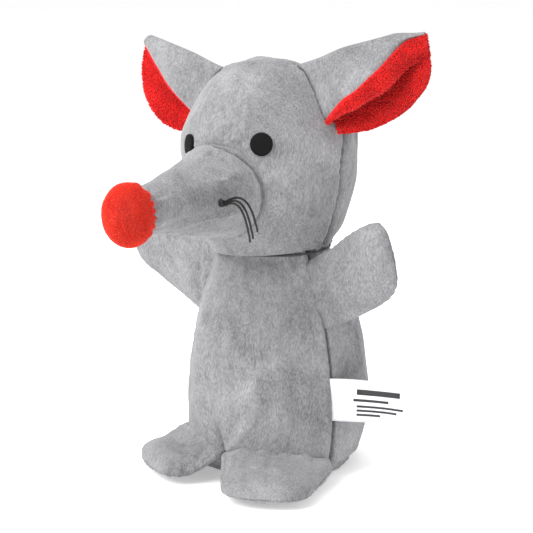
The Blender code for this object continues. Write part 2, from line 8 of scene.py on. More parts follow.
import bpy
import numpy as np
from mathutils import Matrix, Vector
from mathutils.bvhtree import BVHTree


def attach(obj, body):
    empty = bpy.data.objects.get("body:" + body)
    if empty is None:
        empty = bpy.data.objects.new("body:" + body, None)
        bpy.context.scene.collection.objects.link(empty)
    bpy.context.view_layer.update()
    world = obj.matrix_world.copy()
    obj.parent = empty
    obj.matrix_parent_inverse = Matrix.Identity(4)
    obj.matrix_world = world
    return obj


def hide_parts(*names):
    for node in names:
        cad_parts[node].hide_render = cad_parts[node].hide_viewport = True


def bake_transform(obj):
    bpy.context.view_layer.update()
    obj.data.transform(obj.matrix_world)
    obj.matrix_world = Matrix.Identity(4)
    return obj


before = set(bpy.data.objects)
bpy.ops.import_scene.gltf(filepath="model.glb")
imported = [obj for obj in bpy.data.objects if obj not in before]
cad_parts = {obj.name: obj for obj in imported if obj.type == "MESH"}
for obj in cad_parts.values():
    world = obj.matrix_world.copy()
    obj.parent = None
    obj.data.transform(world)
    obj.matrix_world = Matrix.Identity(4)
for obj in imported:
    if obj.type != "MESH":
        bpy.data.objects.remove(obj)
LOG = logging.getLogger("plush_mouse")
MM = 0.001
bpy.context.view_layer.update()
BALL = 0.099                     # height of the shoulder ball's middle, where the head turns
SIDE_SEAM = math.radians(72)     # where round the body its side seams are, from the front
CHEEK = math.radians(123)        # where round the toy it is a little fuller
FLOOR = 0.00005                  # how high above the floor the cloth rests


class Side(Enum):
    """The toy's own left (+X) and right (-X)."""

    LEFT = 1
    RIGHT = -1

    @property
    def word(self) -> str:
        """The side's name as the part's nodes spell it."""
        return self.name.lower()


# ------------------------------------------------------------------ numbers
def smooth_line(points: list[tuple[float, ...]], count: int) -> np.ndarray:
    """Points evenly spaced along a Catmull-Rom line.

    Args:
        points: the points that it goes through.
        count: how many points to return.

    Returns:
        An array with one row for each point.
    """
    p = np.array(points, float)
    ends = np.vstack([2 * p[0] - p[1], p, 2 * p[-1] - p[-2]])
    line = []
    for a, b, c, d in zip(ends[:-3], ends[1:-2], ends[2:-1], ends[3:]):
        for t in np.linspace(0, 1, 16, endpoint=False):
            line.append(0.5 * (2 * b + (c - a) * t + (2 * a - 5 * b + 4 * c - d) * t**2
                               + (3 * b - a - 3 * c + d) * t**3))
    line = np.array(line + [p[-1]])
    run = np.concatenate([[0], np.cumsum(np.linalg.norm(np.diff(line, axis=0), axis=1))])
    at = np.linspace(0, run[-1], count)
    return np.column_stack([np.interp(at, run, line[:, k]) for k in range(p.shape[1])])


def step(x: np.ndarray | float, low: float, high: float) -> np.ndarray:
    """A soft step from 0 below low to 1 above high."""
    t = np.clip((np.asarray(x, float) - low) / (high - low), 0.0, 1.0)
    return t * t * (3 - 2 * t)


def lumps(p: np.ndarray, size: float, seed: int) -> np.ndarray:
    """Smooth irregular unevenness, about -1 to 1, that depends only on place.

    Args:
        p: points, in metres.
        size: the width of a lump, in metres.
        seed: which pattern.

    Returns:
        One value for each point.
    """
    rng = np.random.default_rng(seed)
    total = np.zeros(p.shape[:-1])
    for _ in range(9):
        way = rng.normal(size=3)
        way *= (0.75 + 0.6 * rng.random()) * math.pi / size / np.linalg.norm(way)
        total += np.sin(p @ way + rng.random() * 6.283)
    return total / 3.6


def outward(p: np.ndarray) -> np.ndarray:
    """Unit normals of a grid whose columns close on themselves, pointing away from its middle."""
    across = np.roll(p, -1, axis=1) - np.roll(p, 1, axis=1)
    normal = np.cross(across, np.gradient(p, axis=0))
    normal = normal / np.maximum(np.linalg.norm(normal, axis=-1, keepdims=True), 1e-12)
    return -normal if (normal * (p - p.reshape(-1, 3).mean(0))).sum() < 0 else normal


def moved(points: np.ndarray, matrix: Matrix) -> np.ndarray:
    """Points taken through a matrix."""
    m = np.array(matrix)
    return points @ m[:3, :3].T + m[:3, 3]


def finer(p: np.ndarray) -> np.ndarray:
    """The same grid with a smooth point halfway between each two, along rows and round the columns."""
    pad = np.concatenate([p[:1], p, p[-1:]])
    between = (9 * (pad[1:-2] + pad[2:-1]) - pad[:-3] - pad[3:]) / 16
    rows = np.empty((2 * len(p) - 1, *p.shape[1:]))
    rows[0::2], rows[1::2] = p, between
    halves = (9 * (rows + np.roll(rows, -1, 1)) - np.roll(rows, 1, 1) - np.roll(rows, -2, 1)) / 16
    return np.stack([rows, halves], axis=2).reshape(len(rows), -1, *p.shape[2:])


# ------------------------------------------------------------------ meshes
def new_object(name: str, mesh: bpy.types.Mesh) -> bpy.types.Object:
    """Link a mesh to the scene under that name, shaded smooth."""
    obj = bpy.data.objects.new(name, mesh)
    bpy.context.scene.collection.objects.link(obj)
    if len(mesh.polygons):
        mesh.polygons.foreach_set("use_smooth", np.ones(len(mesh.polygons), bool))
    return obj


def mesh_from(name: str, points: np.ndarray, faces: list[list[int]]) -> bpy.types.Object:
    """A smooth mesh object whose faces point outwards.

    Args:
        name: the object's name.
        points: its vertices, in the toy's frame.
        faces: vertex numbers of each face, all wound one way.

    Returns:
        The new object.
    """
    mesh = bpy.data.meshes.new(name)
    mesh.from_pydata(points.tolist(), [], faces)
    mesh.calc_loop_triangles()
    corner = np.array([t.vertices[:] for t in mesh.loop_triangles])
    a, b, c = (points[corner[:, k]] - points.mean(0) for k in range(3))
    if (a * np.cross(b, c)).sum() < 0:
        mesh.flip_normals()
    return new_object(name, mesh)


def closed_form(name: str, p: np.ndarray) -> bpy.types.Object:
    """A form from a grid whose columns go round and whose first and last rows shrink to a pole."""
    rows, cols = p.shape[:2]
    points = np.concatenate([p.reshape(-1, 3), p[:1].mean(1), p[-1:].mean(1)])
    faces = [[i * cols + j, i * cols + (j + 1) % cols, (i + 1) * cols + (j + 1) % cols,
              (i + 1) * cols + j] for i in range(rows - 1) for j in range(cols)]
    last = (rows - 1) * cols
    faces += [[(j + 1) % cols, j, rows * cols] for j in range(cols)]
    faces += [[last + j, last + (j + 1) % cols, rows * cols + 1] for j in range(cols)]
    return mesh_from(name, points, faces)


def slab_faces(rows: int, cols: int, first: int = 0) -> list[list[int]]:
    """Faces that close two open grids of the same shape, whose corners follow one another from first on."""
    size, faces = rows * cols, []
    for i in range(rows - 1):
        for j in range(cols - 1):
            a, b, c, d = i * cols + j, i * cols + j + 1, (i + 1) * cols + j + 1, (i + 1) * cols + j
            faces += [[a, b, c, d], [size + d, size + c, size + b, size + a]]
    ring = ([j for j in range(cols - 1)] + [i * cols + cols - 1 for i in range(rows - 1)]
            + [(rows - 1) * cols + j for j in range(cols - 1, 0, -1)]
            + [i * cols for i in range(rows - 1, 0, -1)])
    faces += [[b, a, size + a, size + b] for a, b in zip(ring, ring[1:] + ring[:1])]
    return [[first + v for v in face] for face in faces]


def slab_form(name: str, outer: np.ndarray, inner: np.ndarray) -> bpy.types.Object:
    """A closed piece of cloth between two open grids of the same shape."""
    return mesh_from(name, np.concatenate([outer.reshape(-1, 3), inner.reshape(-1, 3)]),
                     slab_faces(*outer.shape[:2]))


def surface_of(obj: bpy.types.Object) -> BVHTree:
    """A piece's faces, ready for finding the nearest point on them."""
    return BVHTree.FromPolygons([v.co for v in obj.data.vertices],
                                [face.vertices[:] for face in obj.data.polygons])


def finished(obj: bpy.types.Object, material: bpy.types.Material) -> bpy.types.Object:
    """Give a piece its material."""
    obj.data.materials.clear()
    obj.data.materials.append(material)
    LOG.info("%s: %d faces, %s", obj.name, len(obj.data.polygons), material.name)
    return obj


# ------------------------------------------------------------------ soft filling
@dataclass(frozen=True)
class Cloth:
    """How cloth gives under the filling's pressure."""

    pressure: float = 4.0
    slack: float = 0.03          # share by which the cut is larger than the form
    gather: float = 0.10         # share by which the thread draws the seams in
    most: float = 0.0024         # how far the cloth may move from its form
    frames: int = 16
    stiff: float = 22.0


def filled(grid: np.ndarray, held: np.ndarray, cloth: Cloth) -> np.ndarray:
    """How far the filling pushes each point of a closed skin.

    Args:
        grid: the skin's points; its columns close on themselves.
        held: how firmly seams hold each point, from 0 to 1.
        cloth: how the cloth gives.
    """
    obj = closed_form("filling", grid - 0.0006 * outward(grid))
    obj.data.update()
    pins, gathers = obj.vertex_groups.new(name="held"), obj.vertex_groups.new(name="gathered")
    for i, weight in enumerate(held.ravel()):
        if weight > 0.02:
            gathers.add([i], float(weight), "REPLACE")
            if weight > 0.75:
                pins.add([i], float(weight - 0.75) * 4, "REPLACE")
    for pole in (grid.shape[0] * grid.shape[1], grid.shape[0] * grid.shape[1] + 1):
        pins.add([pole], 1.0, "REPLACE")
    modifier = obj.modifiers.new("filling", "CLOTH")
    settings = modifier.settings
    settings.quality = 4
    settings.mass = 0.2
    settings.tension_stiffness = settings.compression_stiffness = cloth.stiff
    settings.shear_stiffness = 0.4 * cloth.stiff
    settings.bending_stiffness = 0.6
    settings.tension_damping = settings.compression_damping = 20
    settings.air_damping = 6
    settings.use_pressure = True
    settings.uniform_pressure_force = cloth.pressure
    settings.vertex_group_mass = "held"
    settings.pin_stiffness = 1.0
    settings.vertex_group_shrink = "gathered"
    settings.shrink_min = -cloth.slack
    settings.shrink_max = cloth.gather
    settings.effector_weights.gravity = 0.0
    modifier.collision_settings.use_collision = False
    modifier.point_cache.frame_start, modifier.point_cache.frame_end = 1, cloth.frames
    for number in range(1, cloth.frames + 1):
        bpy.context.scene.frame_set(number)
    shaped = obj.evaluated_get(bpy.context.evaluated_depsgraph_get()).data
    found = np.empty(len(shaped.vertices) * 3)
    shaped.vertices.foreach_get("co", found)
    move = found.reshape(-1, 3)[: grid.shape[0] * grid.shape[1]].reshape(grid.shape) - grid
    mesh = obj.data
    bpy.data.objects.remove(obj)
    bpy.data.meshes.remove(mesh)
    bpy.context.scene.frame_set(1)
    size = np.linalg.norm(move, axis=-1, keepdims=True)
    soft = cloth.most * np.tanh(size / cloth.most)
    return move * np.where(size > 1e-9, soft / np.maximum(size, 1e-9), 0.0)


@dataclass(frozen=True)
class Seam:
    """A sewn line: how deep and wide its valley is, and how it gathers the cloth."""

    deep: float = 0.0011
    wide: float = 0.0011
    swell: float = 0.0004
    gather: float = 0.0003
    period: float = 0.0062
    dark: float = 1.0            # how much painted shade darkens the seam's line

    def dent(self, far: np.ndarray, along: np.ndarray, seed: int = 1) -> np.ndarray:
        """How far the seam moves the cloth along its normal.

        Args:
            far: distance from the seam at each point.
            along: run along the seam at each point.
            seed: which irregular rhythm the gathers have.

        Returns:
            The movement at each point, in metres.
        """
        x = np.abs(far) / self.wide
        place = np.stack([along, 0 * along, 0 * along], axis=-1)
        wobble = 1.6 * lumps(place, 0.016, seed)
        strong = 0.6 + 0.4 * lumps(place, 0.011, seed + 40)
        ripple = np.sin(2 * math.pi * along / self.period + wobble) * strong
        return (-self.deep * np.exp(-x**2) + self.swell * np.exp(-((x - 3.0) / 1.7) ** 2)
                + self.gather * ripple * np.exp(-x / 3.6) * (1 - 0.6 * np.exp(-x**2)))

    def hold(self, far: np.ndarray) -> np.ndarray:
        """How firmly the thread holds each point, from 0 to 1."""
        return np.exp(-(far / (2.4 * self.wide)) ** 2)


class Sewing:
    """What all the seams of a skin do to it together."""

    def __init__(self, shape: tuple[int, ...]):
        """Start with no seams: dent is the movement along the normal, hold the grip, line the painted shade
        along the seams.
        """
        self.dent, self.hold, self.line = np.zeros(shape), np.zeros(shape), np.zeros(shape)

    def add(self, seam: Seam, far: np.ndarray, along: np.ndarray, seed: int,
            where: np.ndarray | float = 1.0) -> None:
        """Sew one seam.

        Args:
            seam: its valley and gathers.
            far: distance from it at each point.
            along: run along it at each point.
            seed: which irregular rhythm its gathers have.
            where: 1 where the seam is, 0 beyond its ends.
        """
        self.dent += seam.dent(far, along, seed) * where
        self.grip(seam.hold(far) * where)
        # line: painted shade along the seam, as strong as the seam's dark value
        self.line = np.maximum(self.line, seam.dark * np.exp(-(far / 0.00085) ** 2) * where)

    def grip(self, hold: np.ndarray) -> None:
        """Hold the cloth there at least that firmly."""
        self.hold = np.maximum(self.hold, hold)


# ------------------------------------------------------------------ finishes
class Tree:
    """A node tree that is built one node at a time."""

    def __init__(self, tree: bpy.types.NodeTree):
        """Start an empty tree."""
        self.tree = tree
        tree.nodes.clear()

    def add(self, kind: str, inputs: dict | None = None, **settings) -> bpy.types.Node:
        """Add a node, its settings and its inputs.

        Args:
            kind: the node's type.
            inputs: an input's name or number, with its value or the socket that feeds it.
            settings: attributes of the node.

        Returns:
            The new node.
        """
        node = self.tree.nodes.new(kind)
        for name, value in settings.items():
            setattr(node, name, value)
        for key, value in (inputs or {}).items():
            if isinstance(value, bpy.types.NodeSocket):
                self.tree.links.new(value, node.inputs[key])
            else:
                node.inputs[key].default_value = value
        return node

    def link(self, source: bpy.types.NodeSocket, target: bpy.types.NodeSocket) -> None:
        """Join two sockets."""
        self.tree.links.new(source, target)

    def mix(self, share: bpy.types.NodeSocket, low: tuple, high: tuple) -> bpy.types.NodeSocket:
        """Blend two colours, low where the share is 0 and high where it is 1."""
        node = self.add("ShaderNodeMix", {"Factor": share, 6: (*low, 1), 7: (*high, 1)}, data_type="RGBA")
        return node.outputs[2]


def material_tree(name: str) -> tuple[bpy.types.Material, Tree, bpy.types.NodeSocket]:
    """A new material, its empty tree and the place on the piece that it reads."""
    material = bpy.data.materials.new(name)
    material.use_nodes = True
    tree = Tree(material.node_tree)
    return material, tree, tree.add("ShaderNodeTexCoord").outputs["Object"]


def group(name: str, takes: dict[str, float], gives: list[str]) -> tuple[bpy.types.NodeTree, Tree,
                                                                     bpy.types.Node, bpy.types.Node]:
    """An empty shader group that takes a place and some numbers, and gives some masks."""
    tree = bpy.data.node_groups.new(name, "ShaderNodeTree")
    tree.interface.new_socket("Place", in_out="INPUT", socket_type="NodeSocketVector")
    for word, value in takes.items():
        tree.interface.new_socket(word, in_out="INPUT", socket_type="NodeSocketFloat").default_value = value
    for word in gives:
        tree.interface.new_socket(word, in_out="OUTPUT", socket_type="NodeSocketFloat")
    maker = Tree(tree)
    return tree, maker, maker.add("NodeGroupInput"), maker.add("NodeGroupOutput")


def nap_group() -> bpy.types.NodeTree:
    """Short pile that lies in drifts: a shade where it leans, and the height of its tufts."""
    tree, t, take, give = group("Nap", {"Drift": 75.0, "Tuft": 420.0, "Fibre": 1900.0}, ["Shade", "Height"])
    place = take.outputs["Place"]
    bend = t.add("ShaderNodeTexNoise", {"Vector": place, "Scale": 45.0, "Detail": 2.0})
    centred = t.add("ShaderNodeVectorMath", {0: bend.outputs["Color"], 1: (0.5, 0.5, 0.5)},
                    operation="SUBTRACT")
    moved = t.add("ShaderNodeVectorMath", {0: centred.outputs[0], 1: (0.012, 0.012, 0.012), 2: place},
                  operation="MULTIPLY_ADD")
    drift = t.add("ShaderNodeTexNoise", {"Vector": moved.outputs[0], "Scale": take.outputs["Drift"],
                                         "Detail": 3.0, "Roughness": 0.55, "Distortion": 0.6})
    streak = t.add("ShaderNodeMapping", {"Vector": moved.outputs[0], "Scale": (1.0, 1.0, 0.38)})
    tuft = t.add("ShaderNodeTexNoise", {"Vector": streak.outputs[0], "Scale": take.outputs["Tuft"],
                                        "Detail": 4.0, "Roughness": 0.6, "Distortion": 0.4})
    fibre = t.add("ShaderNodeTexNoise", {"Vector": streak.outputs[0], "Scale": take.outputs["Fibre"],
                                         "Detail": 2.0, "Roughness": 0.7})
    wide = t.add("ShaderNodeMapRange", {"Value": drift.outputs["Fac"], "From Min": 0.30, "From Max": 0.70})
    mid = t.add("ShaderNodeMapRange", {"Value": tuft.outputs["Fac"], "From Min": 0.28, "From Max": 0.72})
    first = t.add("ShaderNodeMath", {0: wide.outputs[0], 1: 0.40}, operation="MULTIPLY")
    second = t.add("ShaderNodeMath", {0: mid.outputs[0], 1: 0.20, 2: first.outputs[0]},
                   operation="MULTIPLY_ADD")
    fine = t.add("ShaderNodeMapRange", {"Value": fibre.outputs["Fac"], "From Min": 0.34, "From Max": 0.66})
    third = t.add("ShaderNodeMath", {0: fine.outputs[0], 1: 0.44, 2: second.outputs[0]},
                  operation="MULTIPLY_ADD")
    high = t.add("ShaderNodeMath", {0: tuft.outputs["Fac"], 1: 0.55}, operation="MULTIPLY")
    rise = t.add("ShaderNodeMath", {0: fibre.outputs["Fac"], 1: 0.45, 2: high.outputs[0]},
                 operation="MULTIPLY_ADD")
    t.link(third.outputs[0], give.inputs["Shade"])
    t.link(rise.outputs[0], give.inputs["Height"])
    return tree


def weave_group() -> bpy.types.NodeTree:
    """Fine over-and-under threads: a mask that is high on each thread's back."""
    tree, t, take, give = group("Weave", {"Threads": 3000.0}, ["Mask"])
    waves = []
    for axis in ("X", "Z"):
        waves.append(t.add("ShaderNodeTexWave", {"Vector": take.outputs["Place"],
                                                 "Scale": take.outputs["Threads"], "Distortion": 0.6,
                                                 "Detail": 1.0, "Detail Scale": 2.0},
                           bands_direction=axis))
    both = t.add("ShaderNodeMath", {0: waves[0].outputs["Fac"], 1: waves[1].outputs["Fac"]},
                 operation="MULTIPLY")
    t.link(both.outputs[0], give.inputs["Mask"])
    return tree


@dataclass(frozen=True)
class Pile:
    """A pile cloth's finish."""

    name: str
    dark: tuple[float, float, float]
    light: tuple[float, float, float]
    drift: float = 75.0
    tuft: float = 420.0
    fibre: float = 1900.0
    sheen: float = 0.35
    deep: float = 0.00035
    seam: float = 0.62           # how much painted shade darkens the cloth in its seams

    def build(self, nap: bpy.types.NodeTree) -> bpy.types.Material:
        """Make the material from the shared nap."""
        material, t, place = material_tree(self.name)
        look = t.add("ShaderNodeGroup", {"Place": place, "Drift": self.drift, "Tuft": self.tuft,
                                         "Fibre": self.fibre}, node_tree=nap)
        shade = t.mix(look.outputs["Shade"], self.dark, self.light)
        # Painted shade: a point attribute darkens the colour towards near black along the seams and where the
        # ears lie against the head.
        sewn = t.add("ShaderNodeAttribute", attribute_name="painted_seam_shade")
        dim = t.add("ShaderNodeMath", {0: sewn.outputs["Fac"], 1: self.seam}, operation="MULTIPLY")
        seam_shaded = t.add("ShaderNodeMix", {"Factor": dim.outputs[0], 6: shade,
                                       7: (*(0.12 * c for c in self.dark), 1)}, data_type="RGBA")
        bump = t.add("ShaderNodeBump", {"Height": look.outputs["Height"], "Strength": 0.9,
                                        "Distance": self.deep})
        shader = t.add("ShaderNodeBsdfPrincipled",
                       {"Base Color": seam_shaded.outputs[2], "Roughness": 0.95, "Sheen Weight": self.sheen,
                        "Sheen Roughness": 0.45, "Normal": bump.outputs[0],
                        "Sheen Tint": (*(0.5 + 0.5 * c for c in self.light), 1), "IOR": 1.3})
        t.add("ShaderNodeOutputMaterial", {0: shader.outputs[0]})
        return material


@dataclass(frozen=True)
class Threads:
    """A finish of fine threads: embroidery, waxed thread or satin."""

    name: str
    colour: tuple[float, float, float]
    back: tuple[float, float, float]
    rough: float = 0.5
    threads: float = 1500.0
    gloss: float = 1.45
    coat: float = 0.0
    deep: float = 0.0001

    def build(self, weave: bpy.types.NodeTree) -> bpy.types.Material:
        """Make the material from the shared weave."""
        material, t, place = material_tree(self.name)
        look = t.add("ShaderNodeGroup", {"Place": place, "Threads": self.threads}, node_tree=weave)
        shade = t.mix(look.outputs["Mask"], self.back, self.colour)
        bump = t.add("ShaderNodeBump", {"Height": look.outputs["Mask"], "Strength": 0.6,
                                        "Distance": self.deep})
        shader = t.add("ShaderNodeBsdfPrincipled",
                       {"Base Color": shade, "Roughness": self.rough, "IOR": self.gloss,
                        "Coat Weight": self.coat, "Coat Roughness": 0.25, "Normal": bump.outputs[0]})
        t.add("ShaderNodeOutputMaterial", {0: shader.outputs[0]})
        return material


class Finishes:
    """All the materials, made once."""

    def __init__(self):
        """Build the shared groups, then each finish."""
        nap, weave = nap_group(), weave_group()
        self.grey = Pile("grey_velboa", (0.088, 0.088, 0.093), (0.365, 0.365, 0.377), drift=34.0, tuft=300.0,
                         fibre=1300.0, deep=0.0005, seam=0.9).build(nap)
        self.red = Pile("red_velboa", (0.44, 0.003, 0.006), (0.86, 0.020, 0.015), drift=110.0,
                        tuft=520.0, sheen=0.25, deep=0.0006).build(nap)
        self.felt = Pile("red_felt", (0.64, 0.016, 0.008), (0.92, 0.060, 0.026), drift=150.0,
                         tuft=900.0, fibre=2600.0, sheen=0.3, deep=0.0003).build(nap)
        self.eye = Threads("black_embroidery", (0.012, 0.011, 0.011), (0.003, 0.003, 0.003), rough=0.6,
                           threads=900.0, gloss=1.22, deep=0.00025).build(weave)
        self.wax = Threads("black_waxed_thread", (0.030, 0.028, 0.028), (0.006, 0.006, 0.006),
                           rough=0.38, threads=1300.0, gloss=1.35).build(weave)
        self.stitch = Threads("grey_stitches", (0.11, 0.11, 0.115), (0.05, 0.05, 0.053), rough=0.7,
                              threads=1800.0).build(weave)
        self.satin = Threads("white_satin", (0.92, 0.92, 0.93), (0.78, 0.78, 0.80), rough=0.42,
                             threads=2200.0, coat=0.1, deep=0.00004).build(weave)
        self.print = Threads("grey_print", (0.055, 0.055, 0.060), (0.03, 0.03, 0.033), rough=0.6,
                             threads=2200.0, deep=0.00003).build(weave)


# ------------------------------------------------------------------ body and head
@dataclass
class Skin:
    """A stuffed skin: a closed grid of points, sewn, filled and made into one piece."""

    name: str
    rows: int
    cols: int
    cloth: Cloth = field(default_factory=Cloth)
    uneven: float = 1.0
    grid: np.ndarray = field(default=None, init=False)
    normal: np.ndarray = field(default=None, init=False)

    def shape(self, rows: int, cols: int) -> np.ndarray:
        """The form before it is filled, as a closed grid."""
        raise NotImplementedError

    def sewn(self, grid: np.ndarray) -> Sewing:
        """The seams and folds of the skin at those points."""
        raise NotImplementedError

    def settle(self, grid: np.ndarray) -> np.ndarray:
        """The last touch to the points, such as lying flat on the floor."""
        return grid

    def build(self) -> bpy.types.Object:
        """Fill the skin and make its mesh."""
        rough = self.shape(self.rows, self.cols)
        push = filled(rough, self.sewn(rough).hold, self.cloth)
        fine = self.shape(2 * self.rows - 1, 2 * self.cols)
        sewing = self.sewn(fine)
        uneven = 0.00050 * lumps(fine, 0.024, 3) + 0.00022 * lumps(fine, 0.009, 5)
        lift = sewing.dent + self.uneven * uneven * (1 - 0.7 * sewing.hold)
        self.grid = self.settle(fine + finer(push) + outward(fine) * lift[..., None])
        self.normal = outward(self.grid)
        obj = closed_form(self.name, self.grid)
        # The seams' painted shade is stored on each point, for the material to darken.
        line = np.append(sewing.line.ravel(), [0.0, 0.0]).astype(np.float32)
        obj.data.attributes.new("painted_seam_shade", "FLOAT", "POINT").data.foreach_set("value", line)
        return obj

    def touch(self, point: np.ndarray) -> tuple[np.ndarray, np.ndarray]:
        """The place on the skin nearest a point, and the way out of it."""
        far = np.linalg.norm(self.grid - point, axis=-1)
        i, j = np.unravel_index(far.argmin(), far.shape)
        near = self.normal[max(0, i - 2):i + 3, max(0, j - 2):j + 3].reshape(-1, 3).mean(0)
        return self.grid[i, j], near / np.linalg.norm(near)


def turned(line: np.ndarray, cols: int) -> np.ndarray:
    """The grid of a form turned about Z from (radius, height) points; columns start at the back."""
    turn = np.linspace(0, 2 * math.pi, cols, endpoint=False)[None, :]
    r, z = line[:, :1], line[:, 1:]
    return np.stack([r * np.sin(turn - math.pi), -r * np.cos(turn - math.pi), z + 0 * turn], axis=-1)


def run_of(grid: np.ndarray) -> np.ndarray:
    """Distance along each column of a grid from its first row."""
    steps = np.linalg.norm(np.diff(grid, axis=0), axis=-1)
    return np.concatenate([np.zeros((1, grid.shape[1])), np.cumsum(steps, axis=0)])


def apart(angle: np.ndarray, other: float) -> np.ndarray:
    """Angle from another one, in radians, between -pi and pi."""
    return (angle - other + math.pi) % (2 * math.pi) - math.pi


@dataclass
class Body(Skin):
    """The upright body, on a flat base, with its shoulders as a ball under the head."""

    name: str = "body_skin"
    rows: int = 84
    cols: int = 124
    radius: float = 0.048
    neck: float = 0.115
    ball_radius: float = 0.034
    base_seam: float = 0.0042
    dart: float = 0.034
    wall: tuple = ((0.808, 0.001), (0.850, 0.020), (0.905, 0.045), (0.962, 0.085), (0.990, 0.16),
                   (1.0, 0.29), (0.982, 0.41), (0.944, 0.53), (0.862, 0.695), (0.792, 0.80))

    def line(self, rows: int) -> np.ndarray:
        """Its outer line from the middle of the base to the top of the ball."""
        low, top = max(6, rows // 10), max(8, rows // 8)
        base = [(r, 0.0) for r in np.linspace(0.003, 0.80, low) * self.radius]
        rim = [(self.ball_radius * math.cos(a), BALL + self.ball_radius * math.sin(a))
               for a in np.radians((10, 19, 28))]
        side = smooth_line([(r * self.radius, h * self.neck) for r, h in self.wall] + rim,
                           rows - low - top + 1)
        dome = [(self.ball_radius * math.cos(a), BALL + self.ball_radius * math.sin(a))
                for a in np.radians(np.linspace(28, 89.4, top))[1:]]
        return np.array(base + [tuple(p) for p in side] + dome)

    def shape(self, rows: int, cols: int) -> np.ndarray:
        """The turned form, a little fuller at the back."""
        grid = turned(self.line(rows), cols)
        x, y, z = grid[..., 0], grid[..., 1], grid[..., 2]
        turn = np.arctan2(x, -y)
        full = step(z, 0.004, 0.03) * (1 - step(z, 0.075, 0.10))
        more = 1 + 0.045 * np.clip(np.cos(turn - CHEEK), 0, 1) ** 2 * full
        grid[..., 0] *= more
        grid[..., 1] *= more
        return grid

    def sewn(self, grid: np.ndarray) -> Sewing:
        """Side seams, back seam, base seam, front dart and the gathers under the neck."""
        x, y, z = grid[..., 0], grid[..., 1], grid[..., 2]
        turn, r, run = np.arctan2(x, -y), np.hypot(x, y), run_of(grid)
        sewing = Sewing(z.shape)
        up = step(z, 0.002, 0.008) * (1 - step(z, 0.118, 0.122))
        seam = Seam(deep=0.0021, wide=0.0013, swell=0.0009, gather=0.00042, dark=0.95)
        for number, place in enumerate((SIDE_SEAM, -SIDE_SEAM, math.pi)):
            sewing.add(seam, apart(turn, place) * r, run, 10 + number, up)
        arch = self.base_seam + 0.0105 * np.exp(-(turn / math.radians(26)) ** 2)
        columns = np.array([np.interp(arch[0, j], z[:, j], run[:, j]) for j in range(z.shape[1])])
        sewing.add(Seam(deep=0.0018, wide=0.0015, swell=0.0008, gather=0.0005, period=0.0075, dark=0.5),
                   run - columns[None, :], turn * self.radius * 0.9, 21)
        here = (1 - step(z, 0.5 * self.dart, self.dart)) * step(z, 0.008, 0.013)
        sewing.add(Seam(deep=0.0026, wide=0.0018, swell=0.0012, gather=0.0002, dark=0.7),
                   turn * r + 0.32 * (z - 0.014), run, 31, here)
        under = np.exp(-np.abs(z - 0.112) / 0.010) * step(z, 0.07, 0.10) * (1 - step(z, 0.1175, 0.121))
        folds = np.sin(19 * turn + 2.0 * lumps(grid, 0.03, 77)) + 0.5 * np.sin(31 * turn + 1.0)
        sewing.dent += 0.0006 * folds * under - 0.0008 * under
        sewing.grip(step(z, 0.108, 0.116))
        return sewing

    def settle(self, grid: np.ndarray) -> np.ndarray:
        """Stand on the floor, and keep the ball round where the head turns on it."""
        grid[..., 2] = np.maximum(grid[..., 2], FLOOR)
        away = grid - np.array([0, 0, BALL])
        size = np.linalg.norm(away, axis=-1, keepdims=True)
        tight = step(grid[..., 2:], self.neck - 0.004, self.neck)
        return np.array([0, 0, BALL]) + away * (1 - tight + tight * np.minimum(
            1.0, (self.ball_radius - 0.0001) / size))


